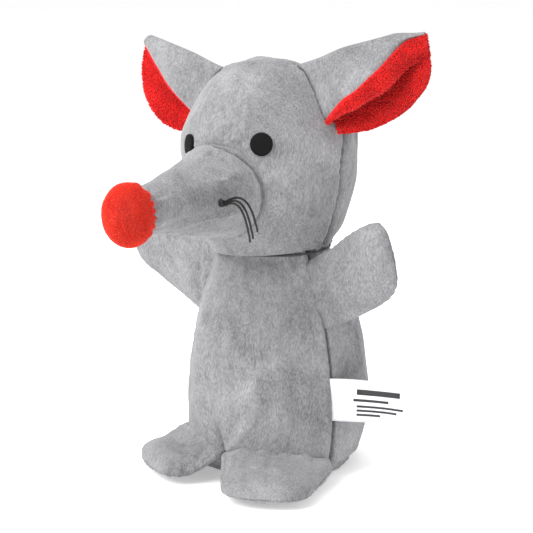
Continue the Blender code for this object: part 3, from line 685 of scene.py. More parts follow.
@dataclass
class Head(Skin):
    """The egg of the head over the shoulder ball; it leans a little to the toy's right."""

    name: str = "head_skin"
    rows: int = 84
    cols: int = 124
    radius: float = 0.047
    height: float = 0.0988
    cup: float = 0.0348
    roll: float = math.radians(5)
    turn: float = math.radians(-1)
    face_seam: float = math.radians(96)
    snout_seam: float = 0.0240
    snout_height: float = 0.0512
    outline: tuple = ((0.82, 0.095), (0.925, 0.25), (0.985, 0.45), (1.0, 0.60), (0.93, 0.69),
                      (0.82, 0.775), (0.69, 0.855), (0.54, 0.925), (0.36, 0.97), (0.15, 0.995),
                      (0.02, 1.0))
    eyes: dict = field(default_factory=lambda: {Side.LEFT: (0.0253, 0.0735), Side.RIGHT: (-0.0210, 0.0737)})

    @property
    def own(self) -> Matrix:
        """The head's frame: at the neck's pivot, leaning and turned a little."""
        return (Matrix.Translation((0.0, 0.0, BALL)) @ Matrix.Rotation(self.turn, 4, "Z")
                @ Matrix.Rotation(-self.roll, 4, "Y"))

    def placed(self, points: np.ndarray) -> np.ndarray:
        """Points of the head's own frame in the toy's frame."""
        return moved(points, self.own)

    def width(self, z: float) -> float:
        """The form's radius at a height above the neck's pivot."""
        side = smooth_line([(self.radius * r, 0.016 + self.height * h) for r, h in self.outline], 120)
        return float(np.interp(z, side[:, 1], side[:, 0]))

    def line(self, rows: int) -> np.ndarray:
        """Its line from the top of the cup under it, down to the rim, and up to the crown."""
        low = max(7, rows // 9)
        tilt = math.radians(29.5)
        cup = [(self.cup * math.cos(a), self.cup * math.sin(a)) for a in
               np.linspace(math.radians(89.4), tilt, low)]
        rim = [(self.cup * math.cos(tilt) + 0.0008, self.cup * math.sin(tilt) - 0.0014)]
        side = [(self.radius * r, 0.016 + self.height * h) for r, h in self.outline]
        line = smooth_line(rim + side, rows - low)
        return np.array(cup + [tuple(p) for p in line])

    def shape(self, rows: int, cols: int) -> np.ndarray:
        """The turned form, fuller behind its left cheek than before its right one, and leaning."""
        grid = turned(self.line(rows), cols)
        turn = np.arctan2(grid[..., 0], -grid[..., 1])
        full = step(grid[..., 2], 0.028, 0.050) * (1 - step(grid[..., 2], 0.085, 0.112))
        side = np.cos(turn - CHEEK)
        grid[..., :2] *= (1 + 0.045 * side * np.abs(side) * full)[..., None]
        return self.placed(grid)

    def eye_at(self, side: Side) -> np.ndarray:
        """Where an eye is sewn on, in the head's own frame."""
        x, z = self.eyes[side]
        r = self.width(z)
        return np.array([x, -math.sqrt(r**2 - x**2), z])

    def sewn(self, grid: np.ndarray) -> Sewing:
        """Face seams, back seam, the snout's seam, pulled-in eyes and the gathers over the neck."""
        p = moved(grid, self.own.inverted())
        x, y, z = p[..., 0], p[..., 1], p[..., 2]
        turn, r, run = np.arctan2(x, -y), np.hypot(x, y), run_of(grid)
        outside = run > run[z.argmin(axis=0)[0] + 1, 0]
        up = outside * step(r, 0.006, 0.020)
        sewing = Sewing(z.shape)
        sewing.grip(np.where(outside, 0.0, 1.0))
        seam = Seam(deep=0.0024, wide=0.0015, swell=0.0011, gather=0.00055, period=0.0068, dark=0.95)
        low = math.radians(8) * (1 - step(z, 0.055, 0.095))
        for number, far in enumerate((turn - self.face_seam + low, turn + self.face_seam - low,
                                      apart(turn, math.pi))):
            sewing.add(seam, far * r, run, 50 + number, up)
        ring = np.hypot(x, z - self.snout_height) - self.snout_seam + 0.0008
        front = step(-y, 0.015, 0.022) * outside
        round_snout = np.arctan2(x, z - self.snout_height) * self.snout_seam
        sewing.add(Seam(deep=0.0008, wide=0.0012, swell=0.0, gather=0.0002, period=0.0070, dark=0.4),
                   ring, round_snout, 61, front)
        for side in Side:
            away = np.linalg.norm(p - self.eye_at(side), axis=-1)
            sewing.dent -= (0.0012 * np.exp(-(away / 0.0070) ** 2)
                            + 0.0004 * np.exp(-((away - 0.011) / 0.004) ** 2))
            sewing.grip(np.exp(-(away / 0.006) ** 2))
        near = np.exp(-(run - run[z.argmin(axis=0)[0], 0]) / 0.009) * outside
        folds = np.sin(21 * turn + 2.2 * lumps(grid, 0.03, 78)) + 0.5 * np.sin(34 * turn + 2.0)
        sewing.dent += 0.0006 * folds * near
        sewing.grip(near)
        return sewing

    def settle(self, grid: np.ndarray) -> np.ndarray:
        """Keep the cup clear of the shoulder ball."""
        away = grid - np.array([0, 0, BALL])
        size = np.linalg.norm(away, axis=-1, keepdims=True)
        return np.array([0, 0, BALL]) + away * np.maximum(1.0, self.cup / size)


@dataclass
class Snout(Skin):
    """The long cone of the snout, sewn to the face and gathered under the nose."""

    head: Head = None
    name: str = "snout_skin"
    rows: int = 44
    cols: int = 84
    nose: float = 0.1145
    droop: float = math.radians(1.5)
    outline: tuple = ((20.6, 31.0), (23.6, 38.0), (24.1, 43.0), (23.6, 47.5), (21.8, 56.5), (17.9, 72.2),
                      (12.9, 92.7), (10.8, 103.5), (9.4, 107.5), (6.0, 109.6), (0.3, 110.0))

    @property
    def own(self) -> Matrix:
        """The snout's frame: Z runs forwards from the head's axis, and Y up."""
        pivot = Matrix.Translation((0.0, -self.head.radius, 0.0))
        droop = pivot @ Matrix.Rotation(self.droop, 4, "X") @ pivot.inverted()
        return (self.head.own @ Matrix.Translation((0, 0, self.head.snout_height)) @ droop
                @ Matrix.Rotation(math.radians(90), 4, "X"))

    def placed(self, points: np.ndarray) -> np.ndarray:
        """Points of the snout's frame in the toy's frame."""
        return moved(points, self.own)

    def shape(self, rows: int, cols: int) -> np.ndarray:
        """The turned cone."""
        line = smooth_line([(r * MM, z * MM) for r, z in self.outline], rows)
        return self.placed(turned(line, cols))

    def sewn(self, grid: np.ndarray) -> Sewing:
        """The seam below, the gathers at the face and those round the nose."""
        p = moved(grid, self.own.inverted())
        x, y, z = p[..., 0], p[..., 1], p[..., 2]
        turn, r, run = np.arctan2(x, -y), np.hypot(x, y), run_of(grid)
        sewing = Sewing(z.shape)
        along = step(z, 0.046, 0.052) * (1 - step(z, 0.103, 0.107))
        sewing.add(Seam(deep=0.0011, wide=0.0012, swell=0.0004, dark=0.6), turn * r, run, 71, along)
        ring = self.head.snout_seam
        high = [self.head.width(self.head.snout_height - ring * math.cos(a)) for a in turn[0]]
        meet = np.sqrt(np.array(high) ** 2 - (ring * np.sin(turn[0])) ** 2)
        sewing.add(Seam(deep=0.0012, wide=0.0012, swell=0.0006, gather=0.0004, period=0.0080, dark=0.75),
                   z - meet[None, :] - 0.0002, turn * ring, 72)
        tip = np.exp(-np.abs(z - 0.1045) / 0.005) * step(z, 0.08, 0.095)
        sewing.dent += 0.00045 * tip * (np.sin(13 * turn + 1.4 * lumps(grid, 0.02, 79)) - 0.5)
        sewing.grip(np.maximum(step(-z, -0.047, -0.044), step(z, 0.102, 0.107)))
        return sewing


@dataclass
class Nose(Skin):
    """The felt ball at the end of the snout, a little taller than wide."""

    snout: Snout = None
    name: str = "nose_ball"
    rows: int = 34
    cols: int = 60
    wide: float = 0.0120
    tall: float = 0.0149
    long: float = 0.0128

    def shape(self, rows: int, cols: int) -> np.ndarray:
        """A ball stretched downwards."""
        a = np.radians(np.linspace(178.5, 1.5, rows))[:, None]
        b = np.linspace(0, 2 * math.pi, cols, endpoint=False)[None, :]
        grid = np.stack([self.wide * np.sin(a) * np.sin(b), self.tall * np.sin(a) * np.cos(b) + 0.0008,
                         self.long * np.cos(a) + self.snout.nose + 0 * b], axis=-1)
        return self.snout.placed(grid)

    def sewn(self, grid: np.ndarray) -> Sewing:
        """Gathers where the ball is closed behind, against the snout."""
        p = moved(grid, self.snout.own.inverted())
        turn = np.arctan2(p[..., 0], p[..., 1])
        back = step(self.snout.nose - p[..., 2], 0.0015, 0.009)
        sewing = Sewing(turn.shape)
        sewing.dent += (0.0010 * back * np.sin(15 * turn + 1.8 * lumps(grid, 0.012, 81))
                        + 0.00010 * lumps(grid, 0.006, 82))
        sewing.grip(step(back, 0.7, 1.0))
        return sewing


# ------------------------------------------------------------------ arms and feet
@dataclass
class Limb(Skin):
    """A pad of two panels, pinched flat at its root and filled towards its end."""

    rows: int = 46
    cols: int = 68
    origin: tuple = (0.0, 0.0, 0.0)
    out: tuple = (1.0, 0.0, 0.0)
    up: tuple = (0.0, -1.0, 0.0)
    neck: tuple = ()             # (along, half width, rise, drop, seam height) from the root outwards
    full: float = 0.025          # where the rounded end starts
    long: float = 0.0475
    square: float = 2.8          # 2 gives a round end, more gives a squarer one
    edge: Seam = field(default_factory=Seam)
    root: float = 0.0            # where along it the limb comes out of the body
    slant: float = 0.0           # how far the root's line leans along the limb
    keep: float = 0.0            # how much of that lean is left at the end
    tilt: float = 0.0            # how far the root's line rises across the limb
    floor: bool = False
    seed: int = 100

    @property
    def axes(self) -> np.ndarray:
        """Rows: along the limb, across it, and out of its upper panel."""
        x, z = np.array(self.out, float), np.array(self.up, float)
        x, z = x / np.linalg.norm(x), z / np.linalg.norm(z)
        return np.array([x, np.cross(z, x), z])

    def placed(self, points: np.ndarray) -> np.ndarray:
        """Points of the limb's frame in the toy's frame."""
        return points @ self.axes + np.array(self.origin)

    def stations(self, rows: int) -> np.ndarray:
        """(along, half width, rise, drop, seam height) of each cross-section."""
        last = np.array(self.neck[-1], float)
        near = smooth_line(self.neck, rows // 2)
        a = np.radians(np.linspace(0, 89.6, rows - rows // 2 + 1))[1:, None]
        power = 2 / self.square
        along = self.full + (self.long - self.full) * np.sin(a) ** power
        wide = last[1] * np.cos(a) ** power
        thick = np.cos(a) ** 0.86
        return np.vstack([near, np.hstack([along, wide, last[2] * thick, last[3] * thick,
                                           last[4] + 0 * a])])

    def shape(self, rows: int, cols: int) -> np.ndarray:
        """Lens-shaped sections along the limb."""
        s = self.stations(rows)
        a = np.linspace(0, 2 * math.pi, cols, endpoint=False)[None, :]
        c, h = np.cos(a), np.sin(a)
        across = s[:, 1:2] * np.sign(c) * np.abs(c) ** 0.88
        up = np.where(h > 0, s[:, 2:3], s[:, 3:4]) * np.sign(h) * np.abs(h) ** 0.90 + s[:, 4:5]
        lean = 1 - step(s[:, :1], 0.25 * self.full, self.full + 0.6 * (self.long - self.full))
        lean = self.keep + (1 - self.keep) * lean
        along = s[:, :1] + self.slant * across * lean
        up = up + self.tilt * across * (1 - step(s[:, :1], 0.0, 0.8 * self.full + 0.2 * self.long))
        return self.placed(np.stack([along, across, up], axis=-1))

    def sewn(self, grid: np.ndarray) -> Sewing:
        """The seam round its edge and the folds that spread from its root."""
        p = (grid - np.array(self.origin)) @ self.axes.T
        level = p[..., 0] - self.slant * p[..., 1] * self.keep
        seam = np.interp(level, [n[0] for n in self.neck], [n[4] for n in self.neck])
        seam += self.tilt * p[..., 1] * (1 - step(level, 0.0, 0.8 * self.full + 0.2 * self.long))
        far = p[..., 2] - seam
        angle = np.arctan2(p[..., 1], p[..., 0] - 0.4 * self.long)
        out = p[..., 0] - self.slant * p[..., 1] - self.root
        sewing = Sewing(far.shape)
        sewing.add(self.edge, far, angle * 0.55 * (self.long + self.neck[-1][1]), self.seed,
                   step(out, 0.002, 0.012))
        root = np.exp(-np.maximum(out, 0) / 0.009)
        fold = np.sin(2 * math.pi * p[..., 1] / 0.0105 + 1.6 * lumps(grid, 0.02, self.seed + 3))
        sewing.dent += 0.0006 * fold * root * np.sign(far) * step(np.abs(far), 0.0, 0.0015)
        sewing.grip(1 - step(out, 0.001, 0.007))
        return sewing

    def settle(self, grid: np.ndarray) -> np.ndarray:
        """Rest on the floor where it reaches it."""
        if self.floor:
            grid[..., 2] = np.maximum(grid[..., 2], FLOOR)
        return grid


def arm(side: Side, middle: float, rise: float, long: float, wide: float, keep: float) -> Limb:
    """A mitten in the side seam.

    Args:
        side: left or right.
        middle: height of the middle of its root.
        rise: how far it points upwards, in degrees.
        long: from its root to its end.
        wide: half its width.
        keep: how nearly upright its end is cut, from 0 to 1.

    Returns:
        The limb, ready to build.
    """
    up, deep = math.radians(rise), 0.0335
    out = (side.value * math.cos(up), 0.0, math.sin(up))
    thick, root = 0.0086, 0.0210 * math.cos(up)
    front = np.cross(out, (0, 0, 1.0)) * side.value
    neck = ((-0.0060, root, 0.0042, 0.0042, 0.0), (0.0030, root, 0.0048, 0.0048, 0.0),
            (0.0110, 1.01 * root, 0.74 * thick, 0.74 * thick, 0.0),
            (0.0210, 0.97 * wide, 0.93 * thick, 0.93 * thick, 0.0), (0.031, wide, thick, thick, 0.0))
    at = (side.value * deep * math.sin(SIDE_SEAM), -deep * math.cos(SIDE_SEAM), middle)
    return Limb(name=f"arm_{side.word}", origin=at, out=out, up=tuple(front), neck=neck, full=0.031,
                long=long, square=3.8, slant=side.value * math.tan(up), keep=keep, root=0.0035,
                edge=Seam(deep=0.0009, wide=0.0011, swell=0.0004, gather=0.0003, dark=0.3),
                seed=110 + side.value)


def foot(side: Side, place: float, splay: float, reach: float, wide: float, high: float,
         tilt: float) -> Limb:
    """A flat pad along the front of the base.

    Args:
        side: left or right.
        place: where round the body the middle of its root is, in degrees from the front.
        splay: how far it points outwards, in degrees.
        reach: from its root to the toe.
        wide: half its width.
        high: height of the seam at its root.
        tilt: how much higher the root is towards the front.

    Returns:
        The limb, ready to build.
    """
    at, turn = math.radians(place) * side.value, math.radians(splay) * side.value
    root = 0.0440
    neck = ((-0.009, 0.92 * wide, 0.0050, 0.0060, high), (-0.001, 1.00 * wide, 0.0068, 0.0075, 0.95 * high),
            (0.22 * reach, 0.98 * wide, 0.0098, 0.0075, 0.36 * high + 0.0042),
            (0.45 * reach, 0.90 * wide, 0.0125, 0.0052, 0.0054))
    return Limb(name=f"foot_{side.word}", origin=(math.sin(at) * root, -math.cos(at) * root, 0.0),
                out=(math.sin(turn), -math.cos(turn), 0.0), up=(0.0, 0.0, 1.0), neck=neck,
                full=0.45 * reach, long=reach, square=2.7, floor=True, slant=-math.tan(at - turn),
                tilt=-tilt * side.value, keep=0.15,
                edge=Seam(deep=0.0010, wide=0.0013, swell=0.0005, gather=0.00035, period=0.0070, dark=0.25),
                seed=120 + side.value)


# ------------------------------------------------------------------ ears
@dataclass
class Ear:
    """Grey cloth and red lining, folded along the ear's ridge and sewn flat into the head's seam."""

    side: Side
    head: Head
    ridge: tuple[float, float, float]
    open: float = 24.0
    rear: float = 1.0
    rim: tuple = ((0.0, 0.01), (1.0, 0.01))   # (along, how far the lining shows past the grey edge)
    blunt: float = 0.08                       # share of the ridge over which the fold opens at the tip
    fold: float = 0.003
    rows: int = 64
    root_top: tuple = (0.026, 0.004, 0.110)
    root_end: tuple = (0.0465, 0.003, 0.078)
    hang: tuple = (0.45, -0.20, -0.87)
    outline: tuple = ((-0.05, 0.55, 0.44), (0.09, 0.61, 0.44), (0.25, 0.65, 0.39), (0.42, 0.65, 0.32),
                      (0.58, 0.59, 0.24), (0.72, 0.52, 0.18), (0.84, 0.42, 0.12), (0.93, 0.28, 0.07),
                      (0.985, 0.13, 0.04), (1.0, 0.04, 0.015))

    def section(self, rear: float, front: float, depth: np.ndarray, fold: float, opening: float,
                count: int) -> np.ndarray:
        """One cross-section, from the rear flap's edge over the fold to the front flap's edge."""
        swing = math.pi - opening
        points = [(t, 0.0) for t in np.linspace(rear, 0.0, count, endpoint=False)]
        normals = [(0.0, -1.0)] * count
        for a in np.linspace(0.0, swing, count // 2):
            points.append((-fold * math.sin(a), fold * (1 - math.cos(a))))
            normals.append((-math.sin(a), -math.cos(a)))
        last, way = points[-1], (-math.cos(swing), math.sin(swing))
        for t in np.linspace(0.0, front, count - 3)[1:]:
            points.append((last[0] + way[0] * t, last[1] + way[1] * t))
            normals.append((-way[1], way[0]))
        return np.array(points) + depth[:, None] * np.array(normals)

    def sheet(self, low: float, high: float, rim: float = 0.0) -> np.ndarray:
        """The folded surface at a depth: low at the border, high away from it, and wider by the rim."""
        long = float(np.linalg.norm(self.ridge))
        along = np.array(self.ridge) / long
        hang = np.array(self.hang) - along * np.dot(along, self.hang)
        hang /= np.linalg.norm(hang)
        forward = np.cross(hang, along)
        forward *= -1 if forward[1] > 0 else 1
        start, count = np.array(self.root_top), 26
        total = 2 * count - 4 + count // 2
        q = np.linspace(-1, 1, total)
        lines = smooth_line(self.outline, self.rows)
        rows = []
        for k, (s, rear, front) in enumerate(lines):
            free = float(step(s, 0.0, 0.4))
            tip = (1 - (k / (len(lines) - 1)) ** 14)
            depth = low + (high - low) * np.sqrt(np.clip(1 - np.abs(q) ** 16, 0, 1)) * math.sqrt(tip)
            past = rim * float(np.interp(s, *zip(*self.rim)))
            fold = self.fold * (0.5 + 0.5 * free) * (0.12 + 0.88 * float(step(1.0 - s, 0.0, self.blunt)))
            line = self.section(rear * long * self.rear,
                                max(front * long + past * long, 0.0012), depth, fold,
                                math.radians(self.open * (0.1 + 0.9 * free)), count)
            rows.append([start + along * s * long + hang * (self.fold + h) + forward * f
                         for h, f in line])
        grid = np.array(rows)
        flat = lines[:, None, 0]
        ripple = 0.0011 * lumps(np.stack([flat * long + 0 * q, 0.022 * q + 0 * flat, 0 * flat + 0 * q],
                                         axis=-1), 0.015, 90 + self.side.value)
        curl = 0.0022 * np.clip((q - 0.72) / 0.28, 0, 1) ** 2 * step(flat, 0.02, 0.2)
        grid += (ripple * step(flat, 0.0, 0.15) - curl)[..., None] * forward
        grid[..., 0] *= self.side.value
        return self.head.placed(grid)

    def build(self) -> tuple[bpy.types.Object, bpy.types.Object]:
        """Make the outer cloth and the lining."""
        word = self.side.word
        outer = slab_form(f"ear_{word}_cloth", self.sheet(0.0004, 0.0012), self.sheet(0.00015, 0.00005))
        lining = slab_form(f"ear_{word}_velvet", self.sheet(-0.00015, -0.00005, 1.0),
                           self.sheet(-0.0004, -0.0019, 1.0))
        return outer, lining

    def hinge(self) -> tuple[np.ndarray, np.ndarray]:
        """Where the ear starts and has finished bending, out from the head."""
        points = np.array([self.root_top, self.root_end, self.ridge])
        points[:, 0] *= self.side.value
        middle = self.head.placed(points[:2].mean(0))
        out = self.head.placed(points[2]) - self.head.placed(np.zeros(3))
        return middle, middle + out / np.linalg.norm(out) * 0.011


# ------------------------------------------------------------------ eyes, whiskers and label
@dataclass
class Eye:
    """A round pad of black embroidery, sewn a little into the face."""

    side: Side
    head: Head
    radius: float = 0.0056
    high: float = 0.0011
    thread: float = 0.00072

    def build(self) -> bpy.types.Object:
        """Make the pad where the skin is."""
        at, out = self.head.touch(self.head.placed(self.head.eye_at(self.side)))
        side = np.cross((0, 0, 1.0), out)
        side /= np.linalg.norm(side)
        up = np.cross(out, side)
        r = np.concatenate([np.linspace(0.02, 0.86, 16), [0.93, 0.98, 1.0, 0.98]])[:, None] * self.radius
        high = np.concatenate([1 - 0.55 * (np.linspace(0.02, 0.86, 16)) ** 2,
                               [0.45, 0.22, -0.10, -1.0]])[:, None] * self.high
        a = np.linspace(0, 2 * math.pi, 64, endpoint=False)[None, :]
        x, y = r * np.cos(a), r * np.sin(a) * 1.04
        lines = np.abs(np.sin(math.pi * (0.8 * x + 0.6 * y) / self.thread)) * 0.00016
        lift = high + 0.0004 + lines * (r < 0.97 * self.radius) + 0 * a
        grid = at + x[..., None] * side + y[..., None] * up + lift[..., None] * out
        return closed_form(f"eye_pad_{self.side.word}", grid)


@dataclass
class Whiskers:
    """A knot on a cheek of the snout, and three waxed threads that arch and hang from it."""

    side: Side
    snout: Snout
    thick: float = 0.0011
    ways: tuple = ((20.0, 12.0, 17.0, 4.4), (26.0, 13.2, 16.5, 4.8), (31.0, 15.2, 14.2, 5.2))

    def build(self) -> tuple[bpy.types.Object, list[tuple[bpy.types.Object, float, list[float]]]]:
        """Make the knot and the threads.

        Returns:
            The knot, and each thread with its length and its start.
        """
        turn = math.radians(94)
        near = self.snout.placed(np.array([0.021 * math.sin(turn) * self.side.value,
                                           0.021 * math.cos(turn), 0.0687]))
        at, out = self.snout.touch(near)
        a = np.radians(np.linspace(3, 177, 14))[:, None]
        b = np.linspace(0, 2 * math.pi, 22, endpoint=False)[None, :]
        size = 0.0017 * (1 + 0.10 * np.sin(3 * b + 5 * a))
        ball = np.stack([size * np.sin(a) * np.cos(b), 0.85 * size * np.cos(a) + 0 * b,
                         1.15 * size * np.sin(a) * np.sin(b)], axis=-1)
        knot = closed_form(f"knot_{self.side.word}", at + out * 0.0011 + ball)
        threads = []
        for number, (fan, reach, fall, lift) in enumerate(self.ways, 1):
            way = np.array([self.side.value * math.cos(math.radians(fan)), math.sin(math.radians(fan)), 0])
            start = at + out * 0.0026 + np.array([0, 0, (number - 2) * 0.0009]) + way * 0.0006
            a = np.linspace(0, math.pi / 2, 30)[:, None]
            fore = np.array([0.5 * self.side.value, -0.85, 0])
            path = (start + way * reach * MM * np.sin(a) ** 0.95 + fore * 0.0095 * np.sin(2 * a)
                    + np.array([0, 0, 1]) * (lift * MM * np.sin(np.minimum(math.pi, 2.4 * a))
                                             - fall * MM * (1 - np.cos(a) ** 0.9)))
            curve = bpy.data.curves.new(f"whisker_{self.side.word}_{number}_thread", "CURVE")
            curve.dimensions = "3D"
            curve.bevel_depth = self.thick / 2
            curve.bevel_resolution = 3
            curve.use_fill_caps = True
            line = curve.splines.new("POLY")
            line.points.add(len(path) - 1)
            line.points.foreach_set("co", np.hstack([path, np.ones((len(path), 1))]).ravel())
            obj = bpy.data.objects.new(curve.name, curve)
            bpy.context.scene.collection.objects.link(obj)
            length = float(np.linalg.norm(np.diff(path, axis=0), axis=1).sum())
            threads.append((obj, length, start.tolist()))
        return knot, threads


@dataclass
class Label:
    """A loop of satin tape in the left side seam, printed with plain bars."""

    tall: float = 0.022
    long: float = 0.040
    height: float = 0.043
    thick: float = 0.00026
    gap: float = 0.00042
    root: float = 0.0474
    bars: tuple = ((0.34, 0.86, 0.30, 0.56), (0.30, 0.72, -0.02, 0.10), (0.34, 0.90, -0.30, -0.20),
                   (0.34, 0.82, -0.50, -0.40), (0.34, 0.62, -0.70, -0.60))  # shares of length and height

    def point(self, run: np.ndarray, high: np.ndarray, off: float | np.ndarray) -> np.ndarray:
        """A point of the tape.

        Args:
            run: from 0 at the root, over 1 at the fold, to 2 at the root again.
            high: from -1 at the lower edge to 1 at the upper edge.
            off: how far outwards from the loop.

        Returns:
            The points in the toy's frame.
        """
        way = math.radians(18)
        start = np.array([self.root * math.sin(SIDE_SEAM), -self.root * math.cos(SIDE_SEAM), self.height])
        out = np.array([math.cos(way), math.sin(way), 0])
        across = np.array([-math.sin(way), math.cos(way), 0])
        bend = self.gap / 2 + off
        s = np.where(run < 1, run, 2 - run) * (self.long + 0.003)
        end = self.long + 0.0022
        over = np.clip((s - end) / 0.0008, 0, 1)
        sign = np.where(run < 1, -1.0, 1.0)
        place = np.minimum(s, end) - 0.003 + bend * np.sin(over * math.pi / 2)
        beside = sign * bend * np.cos(over * math.pi / 2)
        wave = (0.0017 * np.sin(math.pi * np.clip(s / self.long, 0, 1))
                + 0.0006 * np.sin(7 * s / self.long) * high)
        puff = sign * 0.0005 * np.exp(-((s - self.long) / 0.006) ** 2) * (1 - over)
        z = high * self.tall / 2
        return (start + place[..., None] * out + (beside + wave + puff)[..., None] * across
                + z[..., None] * np.array([0, 0, 1.0]))

    def build(self) -> tuple[bpy.types.Object, bpy.types.Object]:
        """Make the tape and its print."""
        near = np.linspace(0, 0.97, 30)
        run = np.concatenate([near, np.linspace(0.975, 1.025, 11), 2 - near[::-1]])[:, None]
        high = np.linspace(-1, 1, 13)[None, :]
        run, high = run + 0 * high, high + 0 * run
        tape = slab_form("label_tape", self.point(run, high, self.thick / 2),
                         self.point(run, high, -self.thick / 2))
        points, faces, rows, cols = [], [], 9, 4
        for x0, x1, z0, z1 in self.bars:
            x, z = np.meshgrid(np.linspace(x0, x1, rows), np.linspace(z0, z1, cols), indexing="ij")
            faces += slab_faces(rows, cols, sum(len(p) for p in points))
            points.append(np.stack([self.point(x, z, self.thick / 2 + over).reshape(-1, 3)
                                    for over in (0.00007, -0.00005)]).reshape(-1, 3))
        return tape, mesh_from("label_print", np.concatenate(points), faces)

    def hinge(self) -> tuple[np.ndarray, np.ndarray]:
        """Where the tape leaves the seam, and where it has finished bending."""
        run, high = np.array([0.10, 0.34]), np.zeros(2)
        a, b = self.point(run, high, 0.0)
        return a, b


# ------------------------------------------------------------------ standing pile
@dataclass(frozen=True)
class Tufts:
    """Short tufts that stand all over a piece of pile cloth."""

    long: float = 0.0013
    thick: float = 0.00062
    density: float = 3.6e6       # tufts on a square metre
    clear: float = 0.0009        # a face further than this from what covers it is bare
    lean: float = 0.55
    seed: int = 7

    def tree(self, material: bpy.types.Material) -> bpy.types.NodeTree:
        """The nodes that set one tuft at each of many scattered points."""
        tree = bpy.data.node_groups.new("Tufts", "GeometryNodeTree")
        face = tree.interface
        face.new_socket("Geometry", in_out="INPUT", socket_type="NodeSocketGeometry")
        for word, value in (("Density", self.density), ("Length", self.long), ("Thickness", self.thick),
                            ("Lean", self.lean)):
            face.new_socket(word, in_out="INPUT", socket_type="NodeSocketFloat").default_value = value
        face.new_socket("Seed", in_out="INPUT", socket_type="NodeSocketInt").default_value = self.seed
        face.new_socket("Geometry", in_out="OUTPUT", socket_type="NodeSocketGeometry")
        t = Tree(tree)
        take, give = t.add("NodeGroupInput"), t.add("NodeGroupOutput")
        spread = t.add("GeometryNodeDistributePointsOnFaces",
                       {"Mesh": take.outputs["Geometry"], "Density": take.outputs["Density"],
                        "Seed": take.outputs["Seed"]}, distribute_method="RANDOM")
        cone = t.add("GeometryNodeMeshCone", {"Vertices": 4, "Side Segments": 1, "Fill Segments": 1,
                                              "Radius Top": 0.0, "Radius Bottom": take.outputs["Thickness"],
                                              "Depth": take.outputs["Length"]})
        spin = t.add("FunctionNodeRandomValue", {"Seed": take.outputs["Seed"]}, data_type="FLOAT_VECTOR")
        low = t.add("ShaderNodeVectorMath", {0: spin.outputs[0], 1: (0.5, 0.5, 0.5)}, operation="SUBTRACT")
        bend = t.add("ShaderNodeVectorMath", {0: low.outputs[0]}, operation="SCALE")
        t.link(take.outputs["Lean"], bend.inputs["Scale"])
        way = t.add("ShaderNodeVectorMath", {0: spread.outputs["Normal"], 1: bend.outputs[0]}, operation="ADD")
        turn = t.add("FunctionNodeAlignRotationToVector", {"Vector": way.outputs[0]}, axis="Z")
        size = t.add("FunctionNodeRandomValue", {"Seed": 3}, data_type="FLOAT")
        size.inputs[2].default_value, size.inputs[3].default_value = 0.6, 1.15
        place = t.add("GeometryNodeInstanceOnPoints",
                      {"Points": spread.outputs["Points"], "Instance": cone.outputs["Mesh"],
                       "Rotation": turn.outputs[0], "Scale": size.outputs[1]})
        real = t.add("GeometryNodeRealizeInstances", {"Geometry": place.outputs[0]})
        look = t.add("GeometryNodeSetMaterial", {"Geometry": real.outputs[0], "Material": material})
        t.link(look.outputs[0], give.inputs[0])
        return tree

    def build(self, name: str, cloth: bpy.types.Object, material: bpy.types.Material,
              first: int = 0, under: bpy.types.Object | None = None) -> bpy.types.Object:
        """Make the tufts of one piece of cloth as a plain mesh.

        Args:
            name: the new object's name.
            cloth: the piece that they stand on.
            material: their finish.
            first: the first corner of the side that carries them; 0 is the whole piece.
            under: a piece that covers part of the other side; what it leaves open carries tufts too.

        Returns:
            The new object.
        """
        cover = surface_of(under) if under else None
        bare = [face.vertices[:] for face in cloth.data.polygons
                if min(face.vertices) >= first
                or (cover and cover.find_nearest(face.center)[3] > self.clear)]
        bed = bpy.data.meshes.new("tuft_bed")
        bed.from_pydata([v.co[:] for v in cloth.data.vertices], [], bare)
        holder = bpy.data.objects.new("tuft_holder", bed)
        bpy.context.scene.collection.objects.link(holder)
        modifier = holder.modifiers.new("tufts", "NODES")
        tree = self.tree(material)
        modifier.node_group = tree
        values = {"Density": self.density * 1.0, "Length": self.long,
                  "Thickness": self.thick, "Lean": self.lean, "Seed": self.seed}
        for item in tree.interface.items_tree:
            if item.item_type == "SOCKET" and item.in_out == "INPUT" and item.name in values:
                modifier[item.identifier] = values[item.name]
        bpy.context.view_layer.update()
        made = bpy.data.meshes.new_from_object(holder.evaluated_get(bpy.context.evaluated_depsgraph_get()))
        bpy.data.objects.remove(holder)
        bpy.data.meshes.remove(bed)
        bpy.data.node_groups.remove(tree)
        made.name = name
        return new_object(name, made)


